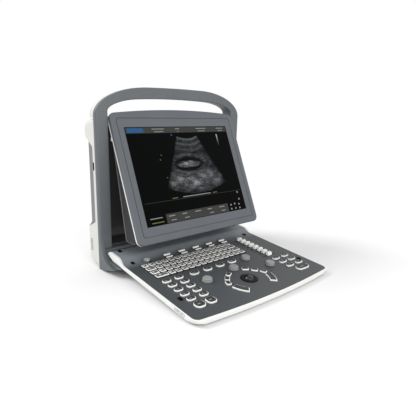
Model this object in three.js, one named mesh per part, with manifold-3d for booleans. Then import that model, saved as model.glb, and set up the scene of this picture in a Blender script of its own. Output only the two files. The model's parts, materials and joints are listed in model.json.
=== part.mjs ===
// Portable ultrasound scanner: a tower with a tilting display and a fold-up control panel.
// Millimetres. X runs to the user's right, Y runs to the back, Z runs up. Y = 0 is the seam
// between the front frame and the rear shell, until the last section moves the origin.
import * as THREE from "three";
import { mergeVertices } from "three/addons/utils/BufferGeometryUtils.js";
import { ConvexGeometry } from "three/addons/geometries/ConvexGeometry.js";
import Module from "manifold-3d";

const wasm = await Module();
wasm.setup();

// ---------------------------------------------------------------- driving dimensions
const GAP = 0.3;                     // clearance between pieces that touch

const TOWER_HALF = 172;              // half the width of the tower
const TOWER_TOP = 337;               // crown of the carrying handle
const TOWER_DEPTH = 96;              // seam to the rearmost face
const FRAME_DEPTH = 9;               // front face of the frame, ahead of the seam
const OPENING = { half: 148.2, bottom: 41.2, top: 316.3, crown: 7, wide: 60, deep: 17 };
const HANDLE_DEPTH = 22;
const DECK_Z = 279;                  // top of the rear shell, under the handle
const SHELL_WALL = 2.5;
const EAR_DEPTH = 38;                // full-width depth of the rear shell's sides

const TILT = 24.25;                  // degrees that the display leans back at rest
const DISPLAY = { half: 147.5, height: 241.4, crown: 8, bezel: 7, thick: 11, corner: 11 };
const DISPLAY_TOP = { y: -9.5, z: 289.5 };
const PIVOT_IN_DISPLAY = { y: 15.5, z: -1 };
const LCD = { width: 245.76, height: 184.32, centre: -118.9 };
const HOUSING_INSET = 4;
const PIN_R = 2.5;

const PANEL_SLOPE = 0.08;            // rise of the control surface per mm of depth
const PANEL_Z = 34.2;                // height of the control surface's plane at the seam
const PANEL_HALF = 163.5;
const PANEL_FRONT = -281;            // front edge of the panel at its corners
const PANEL_BOW = 9;                 // how far the front edge bows out at the middle
const COVER = { inset: 2.5, half: 161 };
const RAMP = { toe: -76, top: -55, rise: 7.6 };
const FOLD = { y: -30, z: 32 };      // fold axis of the panel
const HINGE_EARS = [-100, 100];      // where the frame carries the panel's hinge pin
const BOARD_TOP = -4.5;              // keyboard board, below the control surface
const BOARD_THICK = 1.5;
const KEY_RISE = 2;

// ---------------------------------------------------------------- materials
const finish = (color, roughness, metalness = 0) =>
  new THREE.MeshStandardMaterial({ color, roughness, metalness });
const GREY_PLASTIC = () => finish(0x6a6f73, 0.45);
const DARK_PLASTIC = () => finish(0x2b2c2e, 0.6);
const WHITE_PLASTIC = () => finish(0xe6e6e0, 0.4);
const KEY_PLASTIC = () => finish(0xd9dad5, 0.35);
const KNOB_PLASTIC = () => finish(0x9b9c9a, 0.5);
const RUBBER = () => finish(0x161616, 0.9);
const STEEL = () => finish(0xb4b6b8, 0.3, 1);
const CIRCUIT = () => finish(0x1f5a36, 0.6);
const SCREEN = () => finish(0x050607, 0.2);

// ---------------------------------------------------------------- small toolkit
const degrees = THREE.MathUtils.degToRad;

function solid(geometry) {
  const bare = geometry.clone();
  bare.deleteAttribute("normal");
  bare.deleteAttribute("uv");
  const merged = mergeVertices(bare, 1e-4);
  const vertProperties = new Float32Array(merged.attributes.position.array);
  const triVerts = new Uint32Array(merged.index.array);
  return new wasm.Manifold(new wasm.Mesh({ numProp: 3, vertProperties, triVerts }));
}

function surface(body) {
  const data = body.getMesh();
  const geometry = new THREE.BufferGeometry();
  geometry.setAttribute("position", new THREE.BufferAttribute(data.vertProperties, 3));
  geometry.setIndex(new THREE.BufferAttribute(data.triVerts, 1));
  return geometry;
}

const join = (first, ...rest) => rest.reduce((sum, body) => sum.add(body), first);
const cut = (first, ...rest) => rest.reduce((sum, body) => sum.subtract(body), first);

const polygon = (points) => new THREE.Shape(points.map(([x, y]) => new THREE.Vector2(x, y)));

function extrusion(shape, from, to, curveSegments = 4) {
  const options = { depth: to - from, bevelEnabled: false, curveSegments };
  return new THREE.ExtrudeGeometry(shape, options).translate(0, 0, from);
}
// a shape drawn in X,Y and raised along Z
const alongZ = (shape, from, to, segments) => solid(extrusion(shape, from, to, segments));
// a shape drawn in X,Z and extruded along Y
const alongY = (shape, from, to, segments) =>
  solid(extrusion(shape, -to, -from, segments).rotateX(Math.PI / 2));
// a shape drawn in Y,Z and extruded along X
const TO_X = new THREE.Matrix4().set(0, 0, 1, 0, 1, 0, 0, 0, 0, 1, 0, 0, 0, 0, 0, 1);
const alongX = (shape, from, to, segments) =>
  solid(extrusion(shape, from, to, segments).applyMatrix4(TO_X));
const mirrored = (build) => [-1, 1].map(build);

const box = (x0, x1, y0, y1, z0, z1) =>
  solid(new THREE.BoxGeometry(x1 - x0, y1 - y0, z1 - z0)
    .translate((x0 + x1) / 2, (y0 + y1) / 2, (z0 + z1) / 2));

function roundedRect(x0, x1, y0, y1, radius) {
  const r = Math.min(radius, (x1 - x0) / 2 - 0.01, (y1 - y0) / 2 - 0.01);
  const shape = new THREE.Shape();
  shape.absarc(x1 - r, y1 - r, r, 0, Math.PI / 2);
  shape.absarc(x0 + r, y1 - r, r, Math.PI / 2, Math.PI);
  shape.absarc(x0 + r, y0 + r, r, Math.PI, Math.PI * 1.5);
  shape.absarc(x1 - r, y0 + r, r, Math.PI * 1.5, Math.PI * 2);
  return shape;
}
const grown = ({ x, y, w, d, r }, by = 0) =>
  roundedRect(x - w / 2 - by, x + w / 2 + by, y - d / 2 - by, y + d / 2 + by, r + by);

// a cylinder from Z = from to Z = to
const rod = (x, y, radius, from, to, sides = 20) =>
  solid(new THREE.CylinderGeometry(radius, radius, to - from, sides)
    .rotateX(Math.PI / 2).translate(x, y, (from + to) / 2));
// a cylinder along X
const rodX = (y, z, radius, from, to, sides = 20) =>
  solid(new THREE.CylinderGeometry(radius, radius, to - from, sides)
    .rotateZ(Math.PI / 2).translate((from + to) / 2, y, z));
// a body of revolution about Z, from a closed profile of [radius, height] points
const turned = (x, y, profile, sides = 24) =>
  solid(new THREE.LatheGeometry(profile.map(([r, h]) => new THREE.Vector2(r, h)), sides)
    .rotateX(Math.PI / 2).translate(x, y, 0));

const part = new THREE.Group();
function add(group, name, body, material) {
  const mesh = new THREE.Mesh(surface(body), material());
  mesh.name = name;
  group.add(mesh);
  return mesh;
}

// ---------------------------------------------------------------- outlines
// an upright arch: straight sides, elliptical shoulders and a crowned top
function archPoints({ half, bottom, top, crown, wide, deep, foot = 3 }, grow = 0) {
  const h = half + grow;
  const flat = half - wide;
  const spring = top - crown - deep;
  const onCurve = (x, z) => [x, z + crown * (1 - (x / h) ** 2)];
  const side = [[h - foot, bottom - grow], [h, bottom - grow + foot]];
  for (let i = 0; i <= 8; i++) {
    const t = (Math.PI * i) / 16;
    side.push(onCurve(flat + (wide + grow) * Math.cos(t), spring + (deep + grow) * Math.sin(t)));
  }
  side.push(onCurve(flat / 2, spring + deep + grow));
  const other = side.map(([x, z]) => [-x, z]).reverse();
  return [...side, [0, top + grow], ...other];
}
const towerArch = { half: TOWER_HALF, bottom: 0, top: TOWER_TOP, crown: 6, wide: 106, deep: 45 };

// ---------------------------------------------------------------- tower
const tower = new THREE.Group();
part.add(tower);

const pivot = {
  y: DISPLAY_TOP.y + PIVOT_IN_DISPLAY.y * Math.cos(degrees(TILT))
    + PIVOT_IN_DISPLAY.z * Math.sin(degrees(TILT)),
  z: DISPLAY_TOP.z - PIVOT_IN_DISPLAY.y * Math.sin(degrees(TILT))
    + PIVOT_IN_DISPLAY.z * Math.cos(degrees(TILT)),
};

function arcPoints(centre, radius, from, to, steps) {
  return Array.from({ length: steps + 1 }, (_, i) => {
    const t = degrees(from + ((to - from) * i) / steps);
    return [centre.y + radius * Math.cos(t), centre.z + radius * Math.sin(t)];
  });
}

function frontFrame() {
  const ring = (grow, y) =>
    archPoints(towerArch, grow).map(([x, z]) => new THREE.Vector3(x, y, z));
  const arch = solid(new ConvexGeometry([...ring(0, 2), ...ring(0, -6.2),
    ...ring(-3.5, -FRAME_DEPTH)]));
  const cradle = arcPoints(FOLD, 10.2, -90, 10, 6);
  const toe = polygon([[-2, 0], [-12.5, 0], [-24, 2.8], [-35, 7.5], [-70, 18.4], [-69, 19.2],
    [-40, 20.4], ...cradle, [-15, OPENING.bottom], [-2, OPENING.bottom]]);
  const hollow = polygon([[3, 4], [-12, 4], [-36, 10.5], [-52, 15.6], [-44, 17.6],
    [-27, 20], [-17.5, 27], [-13, 38], [3, 38]]);
  const bays = [-1, 0, 1].map((i) => alongX(hollow, i * 112 - 54, i * 112 + 54));
  const behind = box(-200, 200, 0, 60, -10, 400);
  const opening = alongY(polygon(archPoints(OPENING)), -40, 40);
  const ears = HINGE_EARS.map((x) => join(box(x - 4, x + 4, -34, -26, 19, FOLD.z),
    rodX(FOLD.y, FOLD.z, 4.2, x - 4, x + 4)));
  const body = join(arch, alongX(toe, -169, 169), ...ears);
  const relief = box(-PANEL_HALF - 1, PANEL_HALF + 1, -80, -9.2, 40.9, 60);
  return cut(body, behind, opening, ...bays, relief, rodX(FOLD.y, FOLD.z, PIN_R + GAP, -120, 120));
}
add(tower, "front_frame", frontFrame(), GREY_PLASTIC);

// one slice of the rear shell: a rounded rectangle standing in X,Z at depth y
function slice({ y, half, bottom, top, r }, inset = 0) {
  const shape = roundedRect(-half + inset, half - inset, bottom + inset, top - inset,
    Math.max(r - inset, 1));
  return shape.getPoints(3).map((p) => new THREE.Vector3(p.x, y, p.y));
}
const SHELL_SLICES = [
  { y: GAP, half: TOWER_HALF - 0.8, bottom: 2.5, top: DECK_Z, r: 4 },
  { y: EAR_DEPTH, half: TOWER_HALF - 0.8, bottom: 3, top: DECK_Z - 2, r: 15 },
  { y: TOWER_DEPTH, half: 138, bottom: 7, top: 262, r: 22 },
];
function shellBlock(inset) {
  const depth = [inset ? -3 : 0, 0, -inset];
  return solid(new ConvexGeometry(SHELL_SLICES.flatMap((s, i) =>
    slice({ ...s, y: s.y + depth[i] }, inset))));
}
// the shallow hand grip scooped out of each side
function gripScoop(side, grow) {
  const outline = polygon([[11 - grow, 89 - grow], [11 - grow, 230 + grow],
    [EAR_DEPTH, 246 + grow], [120, 250 + grow], [120, 66 - grow], [EAR_DEPTH, 76 - grow]]);
  const floor = polygon([[180 * side, 10 - grow], [(TOWER_HALF - 1.5 - grow) * side, 11 - grow],
    [(161 - grow) * side, 49], [(128 - grow) * side, 120], [180 * side, 120]]);
  return alongX(outline, -190, 190).intersect(alongZ(floor, 0, 300));
}
const FAN = { x: 84, z: 96, size: 60, y: 74, thick: 15 };
const SOCKET = { x: -62, z: 150, w: 78, h: 34 };
const BATTERY = { x: -30, z: 12, w: 170, h: 44, y: 60, d: 26 };
const INLET = { x: 96, z: 34 };
const PORTS = { x: 10, z: 196, w: 110, h: 22 };

// the rear half of the carrying handle: a channel that stands on the rear shell
function handleBack() {
  const outline = (inset, bottom) =>
    polygon(archPoints({ ...towerArch, bottom: bottom - inset }, -inset));
  const arch = alongY(outline(0.8, DECK_Z + GAP), GAP, HANDLE_DEPTH);
  const channel = alongY(outline(0.8 + SHELL_WALL, DECK_Z + 2), -1, HANDLE_DEPTH - SHELL_WALL);
  const keep = alongY(polygon(archPoints(OPENING, SHELL_WALL)), -2, HANDLE_DEPTH);
  const opening = alongY(polygon(archPoints(OPENING)), -40, 60);
  return cut(arch, channel.subtract(keep), opening);
}
add(tower, "handle_back", handleBack(), WHITE_PLASTIC);

function rearShell() {
  const pocketMouth = box(-OPENING.half, OPENING.half, -1, 14.2, 250, 300);
  const scoops = mirrored((side) => gripScoop(side, 0));
  const cavity = cut(shellBlock(SHELL_WALL), ...mirrored((side) => gripScoop(side, 2.5)));
  const vents = mirrored((side) => Array.from({ length: 7 }, (_, i) =>
    box(side * 171 - 6, side * 171 + 6, 25, 35, 29 + i * 3.6, 30.8 + i * 3.6))).flat();
  const grille = Array.from({ length: 7 }, (_, i) =>
    box(FAN.x - 24, FAN.x + 24, 88, 100, FAN.z - 22.5 + i * 7, FAN.z - 19.5 + i * 7));
  const windows = [
    box(SOCKET.x - SOCKET.w / 2 - GAP, SOCKET.x + SOCKET.w / 2 + GAP, 88, 100,
      SOCKET.z - SOCKET.h / 2 - GAP, SOCKET.z + SOCKET.h / 2 + GAP),
    box(PORTS.x - PORTS.w / 2 - GAP, PORTS.x + PORTS.w / 2 + GAP, 88, 100,
      PORTS.z - PORTS.h / 2 - GAP, PORTS.z + PORTS.h / 2 + GAP),
    box(BATTERY.x - BATTERY.w / 2 - 2, BATTERY.x + BATTERY.w / 2 + 2, 88, 100,
      BATTERY.z, BATTERY.z + BATTERY.h),
    alongY(grown({ x: INLET.x, y: INLET.z, w: 14.6, d: 14.6, r: 7.2 }), 88, 100),
  ];
  return cut(shellBlock(0), cavity, ...scoops, pocketMouth, ...vents, ...grille, ...windows);
}
add(tower, "rear_shell", rearShell(), WHITE_PLASTIC);

function displayTray() {
  const wall = 1.8;
  const inner = polygon([[-4, 43.5], [46, 43.5], [46, 61], [12, 262], [12, 272], [-4, 272]]);
  const outer = polygon([[GAP, 43.5 - wall], [46 + wall, 43.5 - wall], [46 + wall, 61.2],
    [12 + wall, 262.2], [12 + wall, 272 + wall], [GAP, 272 + wall]]);
  const half = OPENING.half - 2.7;
  const tray = cut(alongX(outer, -half - wall, half + wall), alongX(inner, -half, half),
    box(-half, half, -1, 3, 268, 280));
  const lugs = mirrored((side) => {
    const x = side * 87;
    const web = box(x - 5, x + 5, 3.2, 9, 272.5, pivot.z);
    return join(web, rodX(pivot.y, pivot.z, 4.2, x - 5, x + 5));
  });
  const bores = rodX(pivot.y, pivot.z, PIN_R + GAP, -100, 100);
  return cut(join(tray, ...lugs), bores);
}
add(tower, "display_tray", displayTray(), DARK_PLASTIC);
add(tower, "display_hinge_pin", rodX(pivot.y, pivot.z, PIN_R, -94, 94, 16), STEEL);

// ---------------------------------------------------------------- inside the tower
add(tower, "main_board", join(box(-118, 70, 66, 68, 110, 248),
  box(-90, -40, 63, 66.1, 176, 226), box(-20, 20, 60, 66.1, 190, 230),
  box(-100, -20, 67.9, 74, 132, 144)), CIRCUIT);
add(tower, "power_supply", join(box(78, 128, 56, 84, 136, 236),
  box(90, 116, 83.9, 86, 150, 222)), STEEL);
add(tower, "battery_pack", box(BATTERY.x - 80, BATTERY.x + 80, BATTERY.y, BATTERY.y + BATTERY.d,
  BATTERY.z + 3, BATTERY.z + BATTERY.h - 3), DARK_PLASTIC);

function batteryCover() {
  const w = BATTERY.w / 2 + 1.6;
  const plate = box(BATTERY.x - w, BATTERY.x + w, 93, TOWER_DEPTH - 0.4, BATTERY.z + 0.4,
    BATTERY.z + BATTERY.h - 0.4);
  const finger = box(BATTERY.x - 14, BATTERY.x + 14, 94.2, 99, BATTERY.z + 34, BATTERY.z + 39);
  const tabs = [-60, 60].map((x) => box(BATTERY.x + x - 6, BATTERY.x + x + 6, 88, 93.5,
    BATTERY.z + 4, BATTERY.z + 7));
  return cut(join(plate, ...tabs), finger);
}
add(tower, "battery_cover", batteryCover(), WHITE_PLASTIC);

function fanFrame() {
  const h = FAN.size / 2;
  const frame = alongY(roundedRect(FAN.x - h, FAN.x + h, FAN.z - h, FAN.z + h, 4), FAN.y,
    FAN.y + FAN.thick);
  const bore = alongY(grown({ x: FAN.x, y: FAN.z, w: 54, d: 54, r: 27 }), FAN.y - 1,
    FAN.y + FAN.thick + 1, 4);
  const spider = [0, 90].map((turn) => solid(new THREE.BoxGeometry(56, 1.5, 4)
    .rotateY(degrees(turn + 45)).translate(FAN.x, FAN.y + 0.8, FAN.z)));
  const hub = alongY(grown({ x: FAN.x, y: FAN.z, w: 20, d: 20, r: 10 }), FAN.y, FAN.y + 2, 3);
  return join(frame.subtract(bore), ...spider, hub);
}
add(tower, "fan_frame", fanFrame(), DARK_PLASTIC);

function fanRotor() {
  const hub = alongY(grown({ x: FAN.x, y: FAN.z, w: 22, d: 22, r: 11 }), FAN.y + 3,
    FAN.y + FAN.thick - 1, 3);
  const blades = Array.from({ length: 7 }, (_, i) => solid(new THREE.BoxGeometry(15, 1.4, 12)
    .rotateX(degrees(38)).translate(17.5, 0, 0).rotateY((i * Math.PI * 2) / 7)
    .translate(FAN.x, FAN.y + 8.5, FAN.z)));
  return join(hub, ...blades);
}
add(tower, "fan_rotor", fanRotor(), DARK_PLASTIC);

function probeSocket() {
  const { x, z, w, h } = SOCKET;
  const body = box(x - w / 2, x + w / 2, 76, TOWER_DEPTH + 1, z - h / 2, z + h / 2);
  const well = box(x - w / 2 + 4, x + w / 2 - 20, 84, 110, z - h / 2 + 5, z + h / 2 - 5);
  const bore = alongY(grown({ x: x + w / 2 - 10, y: z, w: 8.6, d: 8.6, r: 4.2 }), 84, 110, 4);
  return cut(body, well, bore);
}
add(tower, "probe_socket", probeSocket(), DARK_PLASTIC);

const LOCK = { x: SOCKET.x + SOCKET.w / 2 - 10, z: SOCKET.z, y: TOWER_DEPTH + 1.4 };
function probeLock() {
  const stem = alongY(grown({ x: LOCK.x, y: LOCK.z, w: 7.4, d: 7.4, r: 3.6 }), 86, LOCK.y + 0.1, 4);
  const disc = alongY(grown({ x: LOCK.x, y: LOCK.z, w: 14, d: 14, r: 7 }), LOCK.y, LOCK.y + 1.8, 5);
  const lever = box(LOCK.x - 2, LOCK.x + 2, LOCK.y, LOCK.y + 2.6, LOCK.z - 14, LOCK.z + 6);
  return join(stem, disc, lever);
}
add(tower, "probe_lock", probeLock(), GREY_PLASTIC);

function portBlock() {
  const { x, z, w, h } = PORTS;
  const body = box(x - w / 2, x + w / 2, 76, 94, z - h / 2, z + h / 2);
  const sockets = [[-44, 15, 7], [-24, 15, 7], [2, 17, 12], [32, 28, 10]].map(([dx, sw, sh]) =>
    box(x + dx - sw / 2, x + dx + sw / 2, 84, 100, z - sh / 2, z + sh / 2));
  return cut(body, ...sockets);
}
add(tower, "port_block", portBlock(), DARK_PLASTIC);

function powerInlet() {
  const ring = (size, from, to) =>
    alongY(grown({ x: INLET.x, y: INLET.z, w: size, d: size, r: size / 2 }), from, to, 3);
  const pinInside = ring(2.4, 79, 92);
  return join(ring(14, 78, 95).subtract(ring(8, 84, 99)), pinInside);
}
add(tower, "power_inlet", powerInlet(), DARK_PLASTIC);

for (const [name, side] of [["tower_foot_left", -1], ["tower_foot_right", 1]]) {
  const x = side * 118;
  add(tower, name, turned(x, 70, [[0, 0], [8, 0], [9, 1], [9, 4.4], [0, 4.4]], 18), RUBBER);
}

// ---------------------------------------------------------------- display head
const display = new THREE.Group();
display.position.set(0, DISPLAY_TOP.y, DISPLAY_TOP.z);
display.rotation.x = -degrees(TILT);
part.add(display);

// outline of the display: crowned top, rounded corners, drawn in X,Z
function displayOutline(inset = 0, bottomInset = inset) {
  const h = DISPLAY.half - inset;
  const r = DISPLAY.corner - inset / 2;
  const top = (x) => DISPLAY.crown * (1 - (x / DISPLAY.half) ** 2) - inset;
  const low = -DISPLAY.height + bottomInset;
  const side = [];
  for (let i = 0; i <= 3; i++) {
    const t = degrees(-90 + i * 30);
    side.push([h - r + r * Math.cos(t), low + r + r * Math.sin(t)]);
  }
  for (let i = 0; i <= 3; i++) {
    const t = degrees(i * 28);
    side.push([h - r + r * Math.cos(t), top(h - r) - r + r * Math.sin(t)]);
  }
  for (const share of [0.75, 0.5, 0.25]) side.push([h * share, top(h * share)]);
  const other = side.map(([x, z]) => [-x, z]).reverse();
  return polygon([...side, [0, top(0)], ...other]);
}

function displayBezel() {
  const block = alongY(displayOutline(), 0, DISPLAY.bezel);
  const hollow = alongY(displayOutline(2.5), 1.8, DISPLAY.bezel + 1);
  const [w, h] = [LCD.width / 2 + 0.6, LCD.height / 2 + 0.6];
  const window = box(-w, w, -1, 4, LCD.centre - h, LCD.centre + h);
  const grooves = alongY(roundedRect(-136.5, 136.5, LCD.centre - 110, LCD.centre + 110, 4), -1, 0.5)
    .subtract(alongY(roundedRect(-135.3, 135.3, LCD.centre - 108.8, LCD.centre + 108.8, 3), -2, 2));
  return cut(block, hollow, window, grooves);
}
add(display, "display_bezel", displayBezel(), GREY_PLASTIC);

add(display, "display_rim", cut(
  alongY(displayOutline(0.2), DISPLAY.bezel + GAP, DISPLAY.thick),
  alongY(displayOutline(9), 0, 20)), WHITE_PLASTIC);

add(display, "lcd_module", box(-LCD.width / 2 - 8, LCD.width / 2 + 8, 2.1, 10.5,
  LCD.centre - LCD.height / 2 - 7, LCD.centre + LCD.height / 2 + 7), SCREEN);

function displayHousing() {
  const front = DISPLAY.thick + GAP;
  const half = DISPLAY.half - HOUSING_INSET;
  const side = polygon([[front, -12], [front + 2.1, -12], [front + 2.1, -30], [50.5, -217],
    [52, -221.5], [50.8, -224.5], [46, -227], [30, -232.4], [front, -238]]);
  const inside = polygon([[front - 2, -14.5], [front - 0.1, -14.5], [front - 0.1, -42],
    [48.2, -218.5], [49.2, -221.8], [45, -224.6], [29, -230], [front - 2, -235.8]]);
  const lug = polygon([[front, -14], [front + 2.1, -14], [front + 2.1, -8], [19.5, -5.5],
    [19.5, 4], [front, 4]]);
  const lugs = mirrored((s) => alongX(lug, s * 73 - 7, s * 73 + 7));
  const shell = cut(alongX(side, -half, half), alongX(inside, -half + 2.2, half - 2.2));
  const bores = rodX(PIVOT_IN_DISPLAY.y, PIVOT_IN_DISPLAY.z, PIN_R + GAP, -100, 100);
  return cut(join(shell, ...lugs), bores);
}
add(display, "display_rear_housing", displayHousing(), DARK_PLASTIC);

// ---------------------------------------------------------------- control panel
// The panel group's own axes: X across, Y up the slope, Z out of the control surface.
const panel = new THREE.Group();
const slope = Math.atan(PANEL_SLOPE);
panel.position.set(0, 0, PANEL_Z);
panel.rotation.x = slope;
part.add(panel);

const inPanel = (y, z) => ({
  y: y * Math.cos(slope) + (z - PANEL_Z) * Math.sin(slope),
  z: -y * Math.sin(slope) + (z - PANEL_Z) * Math.cos(slope),
});
const foldAxis = inPanel(FOLD.y, FOLD.z);

// height of the control surface above its plane: it climbs to a raised band at the back
function rampHeight(y) {
  const share = THREE.MathUtils.clamp((y - RAMP.toe) / (RAMP.top - RAMP.toe), 0, 1);
  return RAMP.rise * share * share * (3 - 2 * share);
}
const rampPoints = (offset) => Array.from({ length: 7 }, (_, i) => {
  const y = RAMP.toe + ((RAMP.top - RAMP.toe) * i) / 6;
  return [y, rampHeight(y) + offset];
});

// plan outline of the panel, with a front edge that bows outwards
function panelPlan(half, front, back, radius) {
  const edge = (x) => front - PANEL_BOW * (1 - (x / half) ** 2);
  const right = [];
  for (let i = 0; i <= 4; i++) {
    const t = degrees(-86 + (86 * i) / 4);
    right.push([half - radius + radius * Math.cos(t),
      edge(half - radius) + radius + radius * Math.sin(t)]);
  }
  const left = right.map(([x, y]) => [-x, y]).reverse();
  const bow = [-0.7, -0.35, 0, 0.35, 0.7].map((share) => [half * share, edge(half * share)]);
  return polygon([...bow, ...right, [half, back], [-half, back], ...left]);
}

// keys: centre x and y, width across, depth up the slope, corner radius
const key = (x, y, w, d, r) => ({ x, y, w, d, r });
const LEFT_KEYS = [-129.5, -104.3].flatMap((x) =>
  [0, 1, 2, 3, 4].map((row) => key(x, -162.4 - row * 16.5, 16, 10.2, 4.5)));
const RIGHT_KEYS = [106.2, 132.3].flatMap((x) =>
  [0, 1, 2].map((row) => key(x, -198.6 - row * 17.5, 17.6, 9.8, 4.5)));
const ARC_KEYS = [[-24, -200, 30], [-37, -211, 48], [-46, -223, 68], [18, -200, -30],
  [30, -212, -50], [40, -225, -70]];
const BALL = { x: -2, y: -229.5, r: 9.5, z: -3.5 };
const KNOBS = { knob_1: [-70.5, -197], knob_2: [0, -188], knob_3: [51, -168], knob_4: [74, -211] };
const SLIDERS = Array.from({ length: 8 }, (_, i) => ({ x: 106, y: -96 - i * 12 }));
const ROCKERS = Array.from({ length: 5 }, (_, i) => key(-72 + i * 35, -83.5, 15.5, 13.5, 0.3));
const OVALS = Array.from({ length: 4 }, (_, i) => key(-71.5 + i * 30.2, -163.8, 17.8, 11.8, 5.6));
const BIG_KEYS = {
  freeze_key: key(-128.8, -248.4, 18.6, 17, 7),
  save_key: key(-106.2, -248.4, 17, 17, 6),
  print_key: key(120.2, -252, 32, 15, 7.4),
};
const POWER = { x: -118, y: -82.5, r: 6.3 };

// alphanumeric rows: widths of the first and last key differ from row to row
const ALPHA = { left: -138, right: 73, pitch: 14.06, row: 14.3, top: -92.6, key: 12.3 };
const ALPHA_FIRST = [12.3, 19, 16, 26];
function alphaRow(row) {
  const y = ALPHA.top - ALPHA.row * row - ALPHA.key / 2;
  const keys = [key(ALPHA.left + ALPHA_FIRST[row] / 2, y, ALPHA_FIRST[row], ALPHA.key, 2)];
  let x = ALPHA.left + ALPHA_FIRST[row] + ALPHA.pitch - ALPHA.key;
  while (x + ALPHA.key + ALPHA.pitch < ALPHA.right) {
    keys.push(key(x + ALPHA.key / 2, y, ALPHA.key, ALPHA.key, 2));
    x += ALPHA.pitch;
  }
  keys.push(key((x + ALPHA.right) / 2, y, ALPHA.right - x, ALPHA.key, 2));
  return keys;
}
const ALPHA_ROWS = [0, 1, 2, 3].map(alphaRow);

const turnedKey = ([x, y, turn], w, d, by = 0) => {
  const r = degrees(turn);
  const corners = [[-1, -1], [1, -1], [1, 1], [-1, 1]].map(([a, b]) => {
    const [u, v] = [a * (w / 2 + by), b * (d / 2 + by)];
    return [x + u * Math.cos(r) - v * Math.sin(r), y + u * Math.sin(r) + v * Math.cos(r)];
  });
  return polygon(corners);
};

// a long curved key beside the trackball, as a band of a ring
function arcBand(side, by = 0) {
  const [inner, outer] = [36.5 - by, 49 + by];
  const point = (radius, t) => [BALL.x + side * radius * Math.cos(degrees(t)),
    BALL.y + radius * Math.sin(degrees(t))];
  const extra = (by / 43) * (180 / Math.PI);
  const angles = [0, 1, 2, 3, 4].map((i) => -9 - ((36 + extra * 2) * i) / 4 + extra);
  const points = [...angles.map((t) => point(outer, t)),
    ...angles.reverse().map((t) => point(inner, t))];
  return polygon(points);
}

function topCover() {
  const top = [[-320, 0], [-140, 0], ...rampPoints(0), [-28, RAMP.rise], [-23, 5.6], [-21, 2.6]];
  const under = [[-23.4, 2.2], [-25, 4], [-29, RAMP.rise - 2], ...rampPoints(-2).reverse(),
    [-140, -2], [-320, -2]];
  const sheet = alongX(polygon([...top, ...under]), -COVER.half, COVER.half);
  const plan = alongZ(panelPlan(COVER.half, PANEL_FRONT + COVER.inset, -10, 15), -30, 30);
  const drill = (shape, segments = 1) => alongZ(shape, -20, 20, segments);
  const holes = [
    ...[...LEFT_KEYS, ...RIGHT_KEYS, ...ROCKERS].map((k) => drill(grown(k, 0.4))),
    ...[...OVALS, ...Object.values(BIG_KEYS)].map((k) => drill(grown(k, 0.4), 2)),
  ];
  const rows = ALPHA_ROWS.map((row) => drill(roundedRect(ALPHA.left - 0.4, ALPHA.right + 0.4,
    row[0].y - ALPHA.key / 2 - 0.4, row[0].y + ALPHA.key / 2 + 0.4, 0.3)));
  const slots = SLIDERS.map(({ x, y }) => box(x - 16, x + 16, y - 1.5, y + 1.5, -9, 9));
  const rounds = [...Object.values(KNOBS).map(([x, y]) => rod(x, y, 3.6, -9, 9, 12)),
    rod(POWER.x, POWER.y, POWER.r + 0.4, -9, 12, 16), rod(BALL.x, BALL.y, 14.4, -9, 9, 24)];
  const arcs = [...ARC_KEYS.map((k) => drill(turnedKey(k, 12.5, 9, 0.4))),
    ...mirrored((side) => drill(arcBand(side, 0.4)))];
  return cut(sheet.intersect(plan), ...holes, ...rows, ...slots, ...rounds, ...arcs);
}
add(panel, "panel_top_cover", topCover(), GREY_PLASTIC);

const TUB_WALL = 1.6;
const BELLY = { half: 130, depth: -18.6 };
function panelTub() {
  const plan = alongZ(panelPlan(PANEL_HALF, PANEL_FRONT, -10, 17), -40, 30);
  const innerPlan = alongZ(panelPlan(PANEL_HALF - 2.2, PANEL_FRONT + 2.2, -24.5, 15), -40, 30);
  const under = [[-26.6, -3.6], [-30, -5.6], [-38.3, -8.7], [-70.9, -8.1], [-320, -11.3]];
  const outer = polygon([[-320, 0], ...rampPoints(0), [-28, RAMP.rise], [-23, 5.6],
    [-20.8, 2.6], [-22.4, -1.4], ...under]);
  const inner = polygon([[-320, 20], [-24.5, 20], [-24.5, 0.6], [-31, -3.6], [-39.2, -6.9],
    [-70.9, -6.4], [-320, -9.6]]);
  const table = (lift) => [inPanel(-274, lift), inPanel(-182, lift)].map(({ y, z }) => [y, z]);
  const belly = (shrink, lift) => alongX(polygon([[-276 + shrink, -6], ...table(lift),
    [-100, BELLY.depth + shrink], [-84 - shrink, -6]]), -BELLY.half + shrink, BELLY.half - shrink);
  const slab = cut(alongX(outer, -PANEL_HALF, PANEL_HALF).intersect(plan),
    alongX(inner, -PANEL_HALF, PANEL_HALF).intersect(innerPlan));
  const cover = alongX(polygon([[-320, -2 - GAP], [-140, -2 - GAP], ...rampPoints(-2 - GAP),
    [-29, RAMP.rise - 2 - GAP], [-24, 1.8], [-20, 1.8], [-10, 40], [-320, 40]]),
    -COVER.half - GAP, COVER.half + GAP);
  const coverPlan = alongZ(panelPlan(COVER.half + GAP, PANEL_FRONT + COVER.inset - GAP, -10, 15.3),
    -40, 60);
  const hollowed = join(slab, belly(0, 1)).subtract(belly(TUB_WALL, 1 + TUB_WALL));
  const mouth = box(-BELLY.half + TUB_WALL, BELLY.half - TUB_WALL, -262, -97, -12, -5);
  const bosses = HINGE_EARS.flatMap((x) => [x - 8, x + 8]).map((x) =>
    box(x - 2.4, x + 2.4, foldAxis.y - 4, foldAxis.y + 4, -6, foldAxis.z + 3.6));
  const earSlots = HINGE_EARS.map((x) => box(x - 5, x + 5, foldAxis.y - 9, -10, -20, 20));
  const bore = rodX(foldAxis.y, foldAxis.z, PIN_R + GAP, -120, 120);
  return cut(join(cut(hollowed, cover.intersect(coverPlan), mouth), ...bosses), ...earSlots, bore);
}
add(panel, "panel_bottom_tub", panelTub(), WHITE_PLASTIC);

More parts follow.
